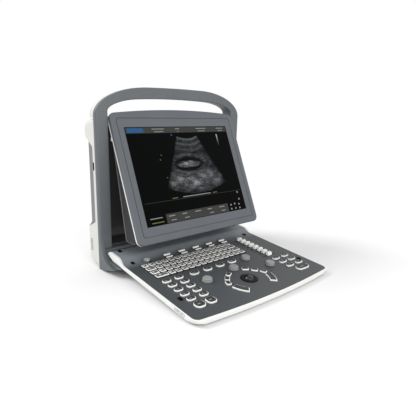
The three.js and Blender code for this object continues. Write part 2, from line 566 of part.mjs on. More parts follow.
function keyboardBoard() {
  const plate = box(-126, 126, -268, -92, BOARD_TOP - BOARD_THICK, BOARD_TOP);
  return plate.subtract(rod(BALL.x, BALL.y, 15, -20, 5, 20));
}
add(panel, "keyboard_board", keyboardBoard(), CIRCUIT);

// keymats: keys moulded on one web that lies under the cover
const WEB = { top: -2 - GAP, bottom: -3.5 };
const capOn = (shape) => alongZ(shape, WEB.bottom + 0.2, KEY_RISE, 1);
const web = (x0, x1, y0, y1) => box(x0, x1, y0, y1, WEB.bottom, WEB.top);

add(panel, "alphanumeric_keymat", join(web(ALPHA.left - 3, ALPHA.right + 3, -153, -95 + 4),
  ...ALPHA_ROWS.flat().map((k) => box(k.x - k.w / 2, k.x + k.w / 2, k.y - k.d / 2,
    k.y + k.d / 2, WEB.bottom + 0.2, KEY_RISE))), KEY_PLASTIC);
add(panel, "left_keymat", join(web(-141, -92, -236, -155), ...LEFT_KEYS.map((k) =>
  capOn(grown(k)))), KEY_PLASTIC);
add(panel, "right_keymat", join(web(93, 145, -241.6, -190), ...RIGHT_KEYS.map((k) =>
  capOn(grown(k)))), KEY_PLASTIC);

function trackballKeymat() {
  const ring = rod(BALL.x, BALL.y, 46, WEB.bottom, WEB.top, 28)
    .subtract(rod(BALL.x, BALL.y, 19, -9, 9, 24));
  const near = box(-60, 60, -290, BALL.y + 6, -9, 9);
  const knobHole = rod(...KNOBS.knob_2, 5, -9, 9, 12);
  return join(cut(ring, near, knobHole), ...ARC_KEYS.map((k) =>
    capOn(turnedKey(k, 12.5, 9))));
}
add(panel, "trackball_keymat", trackballKeymat(), KEY_PLASTIC);

// a key of its own: a cap through the cover with a flange that holds it in
function looseKey(shape, flange, base = 0, segments = 2) {
  return join(alongZ(shape, base - 3.1, base + KEY_RISE, segments),
    alongZ(flange, base - 3.2, base - 2 - GAP, segments));
}
const addKey = (name, k, base) =>
  add(panel, name, looseKey(grown(k), grown(k, 0.9), base), KEY_PLASTIC);
ROCKERS.forEach((k, i) => {
  const base = rampHeight(k.y - k.d / 2);
  const cap = alongX(polygon([[k.y - k.d / 2, base - 3.2], [k.y + k.d / 2, base - 3.2],
    [k.y + k.d / 2, base + 4.6], [k.y + 1, base + 3.2], [k.y - 1, base + 2.6],
    [k.y - k.d / 2, base + 3]]), k.x - k.w / 2, k.x + k.w / 2);
  add(panel, `rocker_${i + 1}`, cap, KEY_PLASTIC);
});
OVALS.forEach((k, i) => addKey(`oval_key_${i + 1}`, k, 0));
for (const [name, k] of Object.entries(BIG_KEYS)) addKey(name, k, 0);
for (const [name, side] of [["arc_key_left", -1], ["arc_key_right", 1]]) {
  add(panel, name, looseKey(arcBand(side), arcBand(side, 0.8)), KEY_PLASTIC);
}
add(panel, "power_button", turned(POWER.x, POWER.y, [[0, -3], [POWER.r + 0.8, -3],
  [POWER.r + 0.8, -2.2], [POWER.r, -2.2], [POWER.r, 4.6], [POWER.r - 1, 5.4], [0, 4.8]], 20),
  KNOB_PLASTIC);

for (const [name, [x, y]] of Object.entries(KNOBS)) {
  add(panel, name, turned(x, y, [[0, -4], [3, -4], [3, 0.4], [9.3, 0.4], [9.3, 1.4],
    [8.6, 5.4], [7.6, 6.4], [0, 6.4]], 16), KNOB_PLASTIC);
}
SLIDERS.forEach(({ x, y }, i) => {
  const stem = box(x - 2.5, x + 2.5, y - 1, y + 1, -4, 1);
  const grip = alongX(polygon([[y - 3.6, 0.5], [y + 3.6, 0.5], [y + 2.4, 6.8], [y - 2.4, 6.8]]),
    x - 6, x + 6);
  add(panel, `gain_slider_${i + 1}`, join(stem, grip), KEY_PLASTIC);
});

add(panel, "trackball", solid(new THREE.SphereGeometry(BALL.r, 16, 10)
  .translate(BALL.x, BALL.y, BALL.z)), RUBBER);
add(panel, "trackball_ring", turned(BALL.x, BALL.y, [[10, -5], [14, -5], [14, GAP], [16, GAP],
  [14.6, 1.5], [8.9, 1.5], [10, -1], [10, -5]], 20), DARK_PLASTIC);

for (const [name, side] of [["panel_foot_left", -1], ["panel_foot_right", 1]]) {
  const at = inPanel(-262, 0);
  const pad = new THREE.CylinderGeometry(7, 7, 0.7, 16).rotateX(Math.PI / 2 - slope)
    .translate(side * 100, at.y, at.z + 0.35);
  add(panel, name, solid(pad), RUBBER);
}
add(panel, "panel_hinge_pin", rodX(foldAxis.y, foldAxis.z, PIN_R, -112, 112, 16), STEEL);

// ---------------------------------------------------------------- origin
// The origin is on the table, under the middle of the whole scanner.
const bounds = new THREE.Box3().setFromObject(part, true);
part.position.y = -(bounds.min.y + bounds.max.y) / 2;

export default part;
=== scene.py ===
"""Looks for the portable ultrasound scanner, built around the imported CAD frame.

Shapes are drawn in millimetres in the local axes of the tower, the display or the control panel
(the axes that the CAD source uses), and a placement matrix brings each one to the row frame.
"""
import json
import math

import bmesh
import bpy
from mathutils import Matrix, Vector, geometry, noise


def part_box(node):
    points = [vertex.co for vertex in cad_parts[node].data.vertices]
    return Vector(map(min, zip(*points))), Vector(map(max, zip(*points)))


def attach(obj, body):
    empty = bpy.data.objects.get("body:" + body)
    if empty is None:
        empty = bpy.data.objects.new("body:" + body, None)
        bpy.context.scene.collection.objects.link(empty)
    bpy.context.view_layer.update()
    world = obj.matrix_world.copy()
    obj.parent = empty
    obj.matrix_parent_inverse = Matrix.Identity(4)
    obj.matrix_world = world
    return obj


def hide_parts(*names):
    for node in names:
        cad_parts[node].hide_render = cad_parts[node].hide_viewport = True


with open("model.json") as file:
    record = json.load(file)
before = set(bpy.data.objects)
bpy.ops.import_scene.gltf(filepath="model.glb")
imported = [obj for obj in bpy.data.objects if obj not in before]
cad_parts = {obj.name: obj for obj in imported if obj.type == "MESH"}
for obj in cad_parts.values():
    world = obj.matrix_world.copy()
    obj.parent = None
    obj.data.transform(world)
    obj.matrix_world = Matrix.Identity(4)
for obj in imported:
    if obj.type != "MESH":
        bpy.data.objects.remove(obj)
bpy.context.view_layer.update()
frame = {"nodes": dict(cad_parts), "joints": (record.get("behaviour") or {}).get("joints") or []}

# ------------------------------------------------------------------ places from the frame
MM = 0.001
SCALE = Matrix.Scale(MM, 4)
joints = {joint["name"]: joint for joint in frame["joints"]}

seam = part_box("front_frame")[1].y                 # back face of the front frame
TOWER = Matrix.Translation((0, seam, 0)) @ SCALE

tilt = math.radians(joints["display_tilt"]["range_deg"][1])
PIVOT_IN_DISPLAY = Vector((0, 15.5, -1))
DISPLAY = (Matrix.Translation(Vector(joints["display_tilt"]["pos_m"]))
           @ Matrix.Rotation(-tilt, 4, "X") @ SCALE @ Matrix.Translation(-PIVOT_IN_DISPLAY))

normal = Vector(joints["knob_1_turn"]["axis"])
slope = math.atan2(-normal.y, normal.z)
KNOB_1_IN_PANEL = Vector((-70.5, -197, 4))
PANEL_TURN = Matrix.Rotation(slope, 4, "X") @ SCALE
PANEL = (Matrix.Translation(Vector(joints["knob_1_turn"]["pos_m"]) - PANEL_TURN @ KNOB_1_IN_PANEL)
         @ PANEL_TURN)


def spot(node):
    """Middle of a CAD node's box, as x and y in the panel's axes, in millimetres."""
    low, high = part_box(node)
    return tuple(PANEL.inverted() @ ((low + high) / 2))[:2]


# ------------------------------------------------------------------ sizes, in millimetres
TOWER_ARCH = dict(half=172, bottom=0, top=337, crown=6, wide=106, deep=45)
OPENING_ARCH = dict(half=148.2, bottom=41.2, top=316.3, crown=7, wide=60, deep=17)
FRAME_DEPTH = 9
HANDLE_DEPTH = 22
DECK_Z = 279
GAP = 0.3
FOLD = (-30, 32)
HINGES = (-100, 100)

DISPLAY_HALF = 147.5
DISPLAY_HEIGHT = 241.4
DISPLAY_CROWN = 8
DISPLAY_CORNER = 11
BEZEL_DEPTH = 7
RIM_BACK = 11
LCD_WIDTH = 245.76
LCD_HEIGHT = 184.32
LCD_CENTRE = -118.9
LCD_FACE = 2.1

PANEL_HALF = 163.5
PANEL_FRONT = -281
PANEL_BOW = 9
COVER_INSET = 2.5
COVER_HALF = PANEL_HALF - COVER_INSET
BAND_INSET = 2.5
PARALLEL = 0.9999                                 # cosine above which a face lies along the panel
RAMP_TOE = -76
RAMP_TOP = -55
RAMP_RISE = 7.6
KEY_RISE = 2
KEYMAT_BASE = -2.6
LOOSE_KEY_BASE = -3
WEB = (-3.4, -2.4)                                # heights of the web that joins the keys
BALL = (-2, -229.5)
BALL_RADIUS = 9.5
BALL_HEIGHT = -3.5


# ------------------------------------------------------------------ materials
GRAIN_HEIGHT = 0.0003                             # metres
GLOSS_SWING = 0.06
CLOUD_SCALE = 14
DOT_SCALE = 2500


def shader(name, color, roughness, specular=0.5, metallic=0):
    """A Principled material with a plain finish, to be given its detail."""
    material = bpy.data.materials.new(name)
    material.use_nodes = True
    bsdf = material.node_tree.nodes["Principled BSDF"]
    for socket, value in (("Base Color", (*color, 1)), ("Roughness", roughness),
                          ("Specular IOR Level", specular), ("Metallic", metallic)):
        bsdf.inputs[socket].default_value = value
    return material, bsdf


def noise_value(tree, scale, detail):
    """Value of a noise texture laid in the object's own space."""
    coords = tree.nodes.new("ShaderNodeTexCoord")
    texture = tree.nodes.new("ShaderNodeTexNoise")
    for socket, value in (("Scale", scale), ("Detail", detail), ("Roughness", 0.55)):
        texture.inputs[socket].default_value = value
    tree.links.new(coords.outputs["Object"], texture.inputs["Vector"])
    return texture.outputs["Fac"]


def map_range(tree, value, low, high, start=0, stop=1):
    """Node that brings a value from start..stop to low..high."""
    node = tree.nodes.new("ShaderNodeMapRange")
    for socket, number in (("From Min", start), ("From Max", stop), ("To Min", low), ("To Max", high)):
        node.inputs[socket].default_value = number
    tree.links.new(value, node.inputs["Value"])
    return node


def mottled(tree, value, color, swing):
    """Colour that swings by a share of itself with a value."""
    ramp = tree.nodes.new("ShaderNodeValToRGB")
    for element, position, gain in zip(ramp.color_ramp.elements, (0.3, 0.7), (1 - swing, 1 + swing)):
        element.position = position
        element.color = (*(min(1, c * gain) for c in color), 1)
    tree.links.new(value, ramp.inputs["Fac"])
    return ramp.outputs["Color"]


def moulded(name, color, roughness=0.5, grain=900, bump=0.12, mottle=0.04, **finish):
    """Moulded plastic: a spark-eroded grain, slight mottling and roughness that varies with it."""
    material, bsdf = shader(name, color, roughness, **finish)
    tree = material.node_tree
    clouds = noise_value(tree, CLOUD_SCALE, 4)
    tree.links.new(mottled(tree, clouds, color, mottle), bsdf.inputs["Base Color"])
    fine = noise_value(tree, grain, 2)
    gloss = map_range(tree, fine, roughness - GLOSS_SWING, roughness + GLOSS_SWING)
    tree.links.new(gloss.outputs["Result"], bsdf.inputs["Roughness"])
    relief = tree.nodes.new("ShaderNodeBump")
    relief.inputs["Strength"].default_value = bump
    relief.inputs["Distance"].default_value = GRAIN_HEIGHT
    tree.links.new(fine, relief.inputs["Height"])
    tree.links.new(relief.outputs["Normal"], bsdf.inputs["Normal"])
    return material


def painted_light_rise(material, start, stop, gain):
    """Painted light: makes a plastic's colour rise smoothly to gain times its value between two depths in
    metres.
    """
    tree = material.node_tree
    color = tree.nodes["Principled BSDF"].inputs["Base Color"]
    plain = color.links[0].from_socket
    coords = tree.nodes.new("ShaderNodeTexCoord")
    split = tree.nodes.new("ShaderNodeSeparateXYZ")
    tree.links.new(coords.outputs["Object"], split.inputs["Vector"])
    rise = map_range(tree, split.outputs["Y"], 1, gain, start, stop)
    rise.interpolation_type = "SMOOTHSTEP"
    scaled = tree.nodes.new("ShaderNodeVectorMath")
    scaled.operation = "SCALE"
    tree.links.new(plain, scaled.inputs[0])
    tree.links.new(rise.outputs["Result"], scaled.inputs["Scale"])
    tree.links.new(scaled.outputs["Vector"], color)


def glowing(name, color, flicker=0.06):
    """A lit part of the screen, with the faint unevenness of the display's dots."""
    material, bsdf = shader(name, (0, 0, 0), 0.5, specular=0.02)
    tree = material.node_tree
    dots = noise_value(tree, DOT_SCALE, 1)
    tree.links.new(mottled(tree, dots, color, flicker), bsdf.inputs["Emission Color"])
    bsdf.inputs["Emission Strength"].default_value = 1
    return material


FRAME_GREY = moulded("frame_grey", (0.096, 0.105, 0.112), 0.45, specular=0.35)
BEZEL_GREY = moulded("bezel_grey", (0.094, 0.101, 0.111), 0.45, specular=0.35)
PANEL_GREY_WITH_PAINTED_BAND_LIGHT = moulded("panel_grey_with_painted_band_light", (0.045, 0.050, 0.054), 0.5, grain=1100, bump=0.2, specular=0.35)
painted_light_rise(PANEL_GREY_WITH_PAINTED_BAND_LIGHT, seam - 0.098, seam - 0.062, 3.9)     # painted light: the raised band's colour is raised to make up for the shade under the display
HOUSING_GREY = moulded("housing_grey", (0.020, 0.0205, 0.022), 0.55, specular=0.3)
# painted highlight: a lighter grey for the lit rear edges of the display's back cover
HOUSING_HIGHLIGHT = moulded("housing_painted_highlight", (0.105, 0.108, 0.111), 0.5)
TRAY_BLACK = moulded("tray_black", (0.060, 0.060, 0.058), 0.6)
# painted shade: a grey that stands for the shade in the side grip scoops
GRIP_SHADE = moulded("grip_painted_shade", (0.105, 0.107, 0.105), 0.5, grain=600, bump=0.25)
DARK_PLASTIC = moulded("dark_plastic", (0.02, 0.021, 0.023), 0.5)
# painted shade: the tub's white plastic made darker for the shade on the tower's sides
SHELL_WHITE_SHADED = moulded("shell_white_shaded", (0.55, 0.555, 0.53), 0.45, mottle=0.015, specular=0.3)
TUB_WHITE = moulded("tub_white", (0.67, 0.675, 0.655), 0.45, mottle=0.015, specular=0.3)
KEY_WHITE = moulded("key_white", (0.80, 0.80, 0.78), 0.35, grain=1500, bump=0.08, mottle=0.02)
# dark key tops, and also painted shade for the gaps between keys on skirts and webs
KEY_TOP_AND_GAP_SHADE = moulded("key_top", (0.030, 0.030, 0.031), 0.5, grain=1500, bump=0.08, specular=0.3)
LETTER_TOP = moulded("letter_top", (0.105, 0.105, 0.103), 0.5, grain=1500, bump=0.08, specular=0.3)
LETTER_MARK = moulded("letter_mark", (0.62, 0.62, 0.61), 0.5, grain=1500)
KNOB_GREY = moulded("knob_grey", (0.23, 0.23, 0.23), 0.42)
BUTTON_GREY = moulded("button_grey", (0.42, 0.43, 0.43), 0.4)
RUBBER = moulded("rubber", (0.005, 0.005, 0.005), 0.8, grain=700, bump=0.3, specular=0.05)
RING_BLACK = moulded("ring_black", (0.007, 0.007, 0.007), 0.4, specular=0.06)
BALL_BLACK = moulded("ball_black", (0.012, 0.012, 0.013), 0.14, bump=0.02)
STEEL = moulded("steel", (0.5, 0.51, 0.52), 0.35, grain=1600, bump=0.05, metallic=1)
BOARD_GREEN = moulded("board_green", (0.02, 0.11, 0.05), 0.4, grain=400)
MARK_GREY = moulded("mark_grey", (0.33, 0.34, 0.35), 0.5)
SCREEN_GLASS = moulded("screen_glass", (0.0015, 0.0017, 0.0017), 0.3, grain=3000, bump=0.02,
                       specular=0.03)
UI_BAR = glowing("ui_bar", (0.055, 0.055, 0.052))
UI_TEXT = glowing("ui_text", (0.27, 0.28, 0.265))
UI_YELLOW = glowing("ui_yellow", (0.17, 0.18, 0.05))
UI_BLUE = glowing("ui_blue", (0.03, 0.11, 0.27))


# ------------------------------------------------------------------ mesh helpers
def each(numbers, count):
    """Material numbers as a list, where one number stands for all."""
    return list(numbers) if isinstance(numbers, (list, tuple)) else [numbers] * count


class Shape:
    """Vertices in millimetres and faces with a material number each."""

    def __init__(self, axes=lambda u, v, w: (u, v, w)):
        self.axes = axes
        self.verts, self.faces, self.numbers = [], [], []

    def add(self, points, faces, number=0):
        first = len(self.verts)
        self.verts += [self.axes(*point) for point in points]
        self.faces += [[first + i for i in face] for face in faces]
        self.numbers += [number] * len(faces)

    def walls(self, rings, numbers=0, loop=False):
        """Quads between rings of equal length; loop joins the last ring to the first."""
        count = len(rings[0])
        faces = [[i, (i + 1) % count, count + (i + 1) % count, count + i] for i in range(count)]
        after = rings[1:] + rings[:1] if loop else rings[1:]
        for low, high, number in zip(rings, after, each(numbers, len(rings))):
            self.add([*low, *high], faces, number)

    def fill(self, loops, number=0):
        """Flat face bounded by the first loop, with the other loops as holes."""
        loops = [[Vector(p) for p in loop] for loop in loops]
        flat = [p for loop in loops for p in loop]
        faces = [list(range(len(flat)))] if len(loops) == 1 else geometry.tessellate_polygon(loops)
        self.add(flat, faces, number)

    def solid(self, rings, numbers=0):
        """Closed body lofted through rings, with a flat face at each end."""
        numbers = each(numbers, len(rings))
        self.fill([rings[0]], numbers[0])
        self.walls(rings, numbers)
        self.fill([rings[-1]], numbers[-1])

    def box(self, x0, x1, y0, y1, z0, z1, number=0):
        """A plain block."""
        corners = [(x0, y0), (x1, y0), (x1, y1), (x0, y1)]
        self.solid([level(corners, z) for z in (z0, z1)], number)

    def mesh(self, place, name):
        """The welded mesh, in the row frame."""
        bm = bmesh.new()
        verts = [bm.verts.new(place @ Vector(v)) for v in self.verts]
        for face, number in zip(self.faces, self.numbers):
            bm.faces.new([verts[i] for i in face]).material_index = number
        bmesh.ops.remove_doubles(bm, verts=bm.verts, dist=2e-6)
        bmesh.ops.recalc_face_normals(bm, faces=bm.faces)
        mesh = bpy.data.meshes.new(name)
        bm.to_mesh(mesh)
        bm.free()
        return mesh


def rearwards(u, v, w):
    """Axes for shapes drawn on the tower's back: w is the depth."""
    return (u, w, v)


def sideways(u, v, w):
    """Axes for profiles drawn from the side: w is the place across."""
    return (w, u, v)


def level(loop, height):
    """A flat loop as a ring of points at one height."""
    return [(x, y, height) for x, y in loop]


def rounded(x, y, width, depth, radius, steps=4):
    """Rounded rectangle about (x, y), anticlockwise."""
    radius = min(radius, width / 2 - 0.01, depth / 2 - 0.01)
    corners = [(1, 1), (-1, 1), (-1, -1), (1, -1)]
    loop = []
    for quarter, (a, b) in enumerate(corners):
        cx, cy = x + a * (width / 2 - radius), y + b * (depth / 2 - radius)
        for i in range(steps + 1):
            turn = math.radians(90 * quarter + 90 * i / steps)
            loop.append((cx + radius * math.cos(turn), cy + radius * math.sin(turn)))
    return loop


def circle(x, y, radius, steps=32):
    return [(x + radius * math.cos(math.tau * i / steps), y + radius * math.sin(math.tau * i / steps))
            for i in range(steps)]


def offset(loop, by):
    """An anticlockwise loop moved outwards."""
    moved = []
    for i, (x, y) in enumerate(loop):
        ax, ay = x - loop[i - 1][0], y - loop[i - 1][1]
        bx, by_ = loop[(i + 1) % len(loop)][0] - x, loop[(i + 1) % len(loop)][1] - y
        la, lb = math.hypot(ax, ay) or 1, math.hypot(bx, by_) or 1
        nx, ny = ay / la + by_ / lb, -ax / la - bx / lb
        size = (nx * nx + ny * ny) / 2 or 1
        moved.append((x + by * nx / size, y + by * ny / size))
    return moved


ROUNDING = [(0, 1), (0.07, 0.62), (0.29, 0.29), (0.62, 0.07), (1, 0)]   # quarter round: inset, drop


def slab(shape, loop, low, high, edge, number=0):
    """A closed plate over a loop, with rounded edges."""
    base = [level(offset(loop, -edge * a), low + edge * b) for a, b in reversed(ROUNDING)]
    rings = [level(offset(loop, -edge * a), high - edge * b) for a, b in ROUNDING]
    shape.solid(base + rings, number)


def added(name, data):
    """A new object in the scene."""
    made = bpy.data.objects.new(name, data)
    bpy.context.scene.collection.objects.link(made)
    return made


def make(name, mesh, materials, body, slot, *nodes, sharp=38, weighted=True):
    """Links a mesh as a piece that rides on a body and stands for CAD nodes."""
    mesh.polygons.foreach_set("use_smooth", [True] * len(mesh.polygons))
    mesh.set_sharp_from_angle(angle=math.radians(sharp))
    for material in materials:
        mesh.materials.append(material)
    piece = added(name, mesh)
    if weighted:
        normals = piece.modifiers.new("normals", "WEIGHTED_NORMAL")
        normals.keep_sharp = True
    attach(piece, body)
    if nodes:
        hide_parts(*nodes)
    return piece


def tower_piece(name, shape, materials, slot, *nodes):
    """A piece of the tower, from a shape in the tower's axes."""
    make(name, shape.mesh(TOWER, name), materials, "base", slot, *nodes)


def display_piece(name, shape, materials, slot, *nodes):
    """A piece of the display, from a shape in the display's axes."""
    make(name, shape.mesh(DISPLAY, name), materials, "display", slot, *nodes)


def panel_piece(name, shape, materials, body, slot, *nodes, **finish):
    """A piece on the panel or a control on it, from a shape in the panel's axes."""
    make(name, shape.mesh(PANEL, name), materials, body, slot, *nodes, **finish)


def blend(x, a, b):
    """Smooth step from 0 at a to 1 at b."""
    share = min(max((x - a) / (b - a), 0), 1)
    return share * share * (3 - 2 * share)


def between(x, points):
    """Straight-line interpolation in a list of (x, value)."""
    for (xa, va), (xb, vb) in zip(points, points[1:]):
        if x <= xb:
            return va + (vb - va) * max(0, (x - xa) / (xb - xa))
    return points[-1][1]


def carved(mesh, *others, operation="DIFFERENCE"):
    """A mesh with other meshes cut from it or joined to it."""
    blank, *tools = [added("blank", data) for data in (mesh, *others)]
    for tool in tools:
        boolean = blank.modifiers.new("boolean", "BOOLEAN")
        boolean.operation = operation
        boolean.solver = "EXACT"
        boolean.object = tool
    graph = bpy.context.evaluated_depsgraph_get()
    result = bpy.data.meshes.new_from_object(blank.evaluated_get(graph))
    for used in [blank, *tools]:
        bpy.data.objects.remove(used)
    return result


def bent(shape, name, place, bend, cuts):
    """The welded mesh, cut at positions along each axis and moved by bend in millimetres."""
    mesh = shape.mesh(Matrix.Identity(4), name)
    bm = bmesh.new()
    bm.from_mesh(mesh)
    for axis, positions in cuts:
        for position in positions:
            bmesh.ops.bisect_plane(bm, geom=bm.verts[:] + bm.edges[:] + bm.faces[:],
                                   plane_co=axis * position, plane_no=axis)
    for vert in bm.verts:
        vert.co = place @ bend(vert.co)
    bm.to_mesh(mesh)
    bm.free()
    return mesh


ACROSS = Vector((1, 0, 0))
ALONG = Vector((0, 1, 0))


def bricks(place, *boxes):
    """Blocks as one mesh, used for cutting."""
    shape = Shape()
    for box in boxes:
        shape.box(*box)
    return shape.mesh(place, "cutter")


def prism(profile, x0, x1, edge):
    """A profile drawn in y,z and extruded along x, with rounded end edges."""
    shape = Shape(sideways)
    start = [level(offset(profile, -edge * a), x0 + edge * b) for b, a in ROUNDING]
    stop = [level(offset(profile, -edge * a), x1 - edge * b) for b, a in ROUNDING]
    shape.solid(start + stop[::-1])
    return shape


# ------------------------------------------------------------------ tower
def arch(half, bottom, top, crown, wide, deep, grow=0, side_steps=8, arc_steps=16, crown_steps=6):
    """Path up one side, round the elliptical shoulders and over the crown, as (x, z) points."""
    h, flat, spring = half + grow, half - wide, top - crown - deep
    path = [(h, bottom + (spring - bottom) * i / side_steps) for i in range(side_steps)]
    for i in range(arc_steps + 1):
        turn = math.pi / 2 * i / arc_steps
        path.append((flat + (wide + grow) * math.cos(turn), spring + (deep + grow) * math.sin(turn)))
    path += [(flat * (1 - i / crown_steps), spring + deep + grow) for i in range(1, crown_steps + 1)]
    path = path[:side_steps] + [(x, z + crown * (1 - (x / h) ** 2)) for x, z in path[side_steps:]]
    return path + [(-x, z) for x, z in reversed(path[:-1])]


def arch_ring(outer, inner, bottom, tones=()):
    """A ring that follows the tower's arch.

    outer and inner list (grow, y) across the section, and tones gives the material number of each
    side of the section.
    """
    tracks = [(arch(**{**TOWER_ARCH, "bottom": bottom}, grow=grow), y) for grow, y in outer]
    tracks += [(arch(**{**OPENING_ARCH, "bottom": bottom}, grow=grow), y) for grow, y in inner]
    shape = Shape()
    shape.solid([[(track[i][0], y, track[i][1]) for track, y in tracks]
                 for i in range(len(tracks[0][0]))])
    for k in range(len(tracks[0][0]) - 1):
        for i, tone in enumerate(tones):
            shape.numbers[1 + k * len(tracks) + i] = tone
    return shape


def arc(centre, radius, start, stop, steps):
    """Points of a circular arc between two angles in degrees."""
    return [(centre[0] + radius * math.cos(math.radians(start + (stop - start) * i / steps)),
             centre[1] + radius * math.sin(math.radians(start + (stop - start) * i / steps)))
            for i in range(steps + 1)]


def front_frame():
    """The grey arch, its cross bar and cheeks at the foot, and the ears of the panel's hinge."""
    ring = arch_ring([(0, 0), (0, -5.8), (-0.3, -7.1), (-1, -8.1), (-2.1, -8.75), (-3.5, -FRAME_DEPTH)],
                     [(2.2, -FRAME_DEPTH), (0.8, -8.6), (0, -7.4), (0, 0)], 0)
    low = OPENING_ARCH["bottom"]
    cradle = arc(FOLD, 10.2, 10, -90, 10)
    bar = [(-0.02, 0), (-0.02, low), (-13.2, low), (-14.6, low - 0.6), (-15.2, low - 2), *cradle,
           (-40, 20.4), (-68, 19.4), (-70, 18.4), (-35, 7.5), (-24, 2.8), (-12.5, 0)]
    cheek = [(-0.04, 0), (-0.04, 96), (-5.4, 96), (-8.5, 72), (-9.7, 54), (-12.4, 42), (-16.6, 33),
             (-21.5, 26), (-28, 20), (-36, 16), (-46, 13.5), (-55, 13.2), (-35, 7.5), (-24, 2.8),
             (-12.5, 0)]
    ears = [prism([(-26, 19), (-26, 32), *arc(FOLD, 4.2, 0, 180, 8)[1:-1], (-34, 32), (-34, 19)],
                  x - 4, x + 4, 0.3) for x in HINGES]
    parts = [prism(bar, -164.3, 164.3, 0.4), prism(cheek, -171.9, -164.1, 1.4),
             prism(cheek, 164.1, 171.9, 1.4), *ears]
    mesh = carved(ring.mesh(TOWER, "front_frame_body"), *[p.mesh(TOWER, "part") for p in parts],
                  operation="UNION")
    make("front_frame_body", mesh, [FRAME_GREY], "base", "grey_plastic", "front_frame",
         sharp=42)


SHELL_BACK = 96
SHELL_SLICES = dict(half=[(0.3, 171.2), (38, 171.2), (SHELL_BACK, 138)],
                    bottom=[(0.3, 2.5), (38, 3), (SHELL_BACK, 7)],
                    top=[(0.3, 279), (38, 277), (SHELL_BACK, 262)],
                    radius=[(0.3, 4), (38, 15), (SHELL_BACK, 22)])
SCOOP_LOW = [(0, 89), (11, 89), (38, 76), (120, 66)]
SCOOP_HIGH = [(0, 230), (11, 230), (38, 246), (120, 250)]
SCOOP_FLOOR = [(0, 175), (11, 170.9), (30, 165.4), (49, 160.6), (120, 128)]
SHELL_WALL = 2.5
CORNER_CLEAR = 4
BACK_CUT = (88, 100)                              # depths between which the rear wall is cut through
FAN = (84, 96)


def scoop_span(y):
    """Lowest and highest z of the grip scoop at depth y, clear of the shell's rounded top corner."""
    corner = between(y, SHELL_SLICES["top"]) - between(y, SHELL_SLICES["radius"])
    return between(y, SCOOP_LOW), min(between(y, SCOOP_HIGH), corner - CORNER_CLEAR)


def shell_ring(y, inset=0, depth=None):
    """One ring of the rear shell at depth y behind the seam, as (x, y, z) points."""
    half, low, high, radius = (between(y, SHELL_SLICES[k]) for k in ("half", "bottom", "top", "radius"))
    half, low, high, radius = half - inset, low + inset, high - inset, max(radius - inset, 1)
    dent = max(0, between(y, SHELL_SLICES["half"]) - between(y, SCOOP_FLOOR))
    a, b = scoop_span(y)
    z0, z1 = low + radius, high - radius
    rows = [(z0 + (a - z0) * i / 5, 0) for i in range(1, 5)] + [(a, 0), (a + 0.6, 0.35), (a + 2, 0.9)]
    rows += [(a + 3 + (b - a - 6) * i / 10, 1) for i in range(11)]
    rows += [(b - 2, 0.9), (b - 0.6, 0.35), (b, 0)] + [(b + (z1 - b) * i / 3, 0) for i in range(1, 3)]
    corner = [math.radians(15 * i) for i in range(7)]
    right = [(half - radius + radius * math.sin(t), low + radius - radius * math.cos(t)) for t in corner]
    right += [(half - dent * share, z) for z, share in rows]
    right += [(half - radius + radius * math.cos(t), high - radius + radius * math.sin(t)) for t in corner]
    plan = right + [(-x, z) for x, z in reversed(right)]
    return [(x, y if depth is None else depth, z) for x, z in plan]


def rear_shell():
    """The hollow white shell with its grip scoops, side vents, fan grille and rear openings."""
    columns = [0.3, 3, 7, 10.4, 11.6, 14, 18, 24, 30, 35, 38, 42, 48, 56, 66, 78, 87]
    inner = [shell_ring(y, SHELL_WALL) for y in reversed(columns)]
    outer = [shell_ring(y) for y in columns]
    edge = 8
    rear = [shell_ring(SHELL_BACK - edge * b, edge * a * 0.8) for a, b in ROUNDING[1:]]
    shape = Shape()
    shape.solid([shell_ring(87, SHELL_WALL + 2, depth=93.4)] + inner + outer + rear)
    mesh = shape.mesh(TOWER, "rear_shell_body")
    vents = [(side * 171 - 6, side * 171 + 6, 25, 35, 29 + i * 3.6, 30.8 + i * 3.6)
             for side in (-1, 1) for i in range(7)]
    grille = [(FAN[0] - 24, FAN[0] + 24, *BACK_CUT, FAN[1] - 22.5 + i * 7, FAN[1] - 19.5 + i * 7)
              for i in range(7)]
    windows = [(x0, x1, *BACK_CUT, z0, z1) for x0, x1, z0, z1 in
               ((-101.3, -22.7, 132.7, 167.3), (-45.3, 65.3, 184.7, 207.3), (-117, 57, 12, 56))]
    mouth = [(-148.2, 148.2, -1, 14.2, 250, 300)]
    inlet = Shape(rearwards)
    inlet.solid([level(circle(96, 34, 7.3), depth) for depth in BACK_CUT])
    mesh = carved(mesh, bricks(TOWER, *vents, *grille, *windows, *mouth), inlet.mesh(TOWER, "cutter"))
    # painted shade: the scoop's faces take the grey that stands for the shade in the recess
    for face in mesh.polygons:
        x, y, z = TOWER.inverted() @ face.center
        outside, floor = between(y, SHELL_SLICES["half"]), between(y, SCOOP_FLOOR)
        low, high = scoop_span(y)
        if 11 < y < 87 and floor - 0.4 < abs(x) < outside - 0.2 and low - 0.5 < z < high + 0.5:
            face.material_index = 1
    make("rear_shell_body", mesh, [SHELL_WHITE_SHADED, GRIP_SHADE], "base", "white_plastic", "rear_shell")


def vent_liners():
    """Dark sheets behind the side vents as painted shade for the inside of the tower, and the rubber bung of
    the small side port.
    """
    for middle, name in ((-169.8, "vent_shade_sheet_left"), (169.8, "vent_shade_sheet_right")):
        shade_sheet = prism([(23.5, 26), (36.5, 26), (36.5, 55), (23.5, 55)], middle - 0.4, middle + 0.4, 0.1)
        tower_piece(name, shade_sheet, [DARK_PLASTIC], "dark_plastic")
    bung = prism(rounded(8, 194.5, 4.4, 15, 2), -171.6, -170.4, 0.25)
    tower_piece("side_port_bung", bung, [RUBBER], "rubber")


SHELL_SCREWS = [(-122, 78, 3.6), (122, 78, 3.6), (-122, 232, 3.6), (122, 232, 3.6),
                (56, 68, 2.4), (112, 68, 2.4), (56, 124, 2.4), (112, 124, 2.4)]
CONTACT_BASE = 83.8


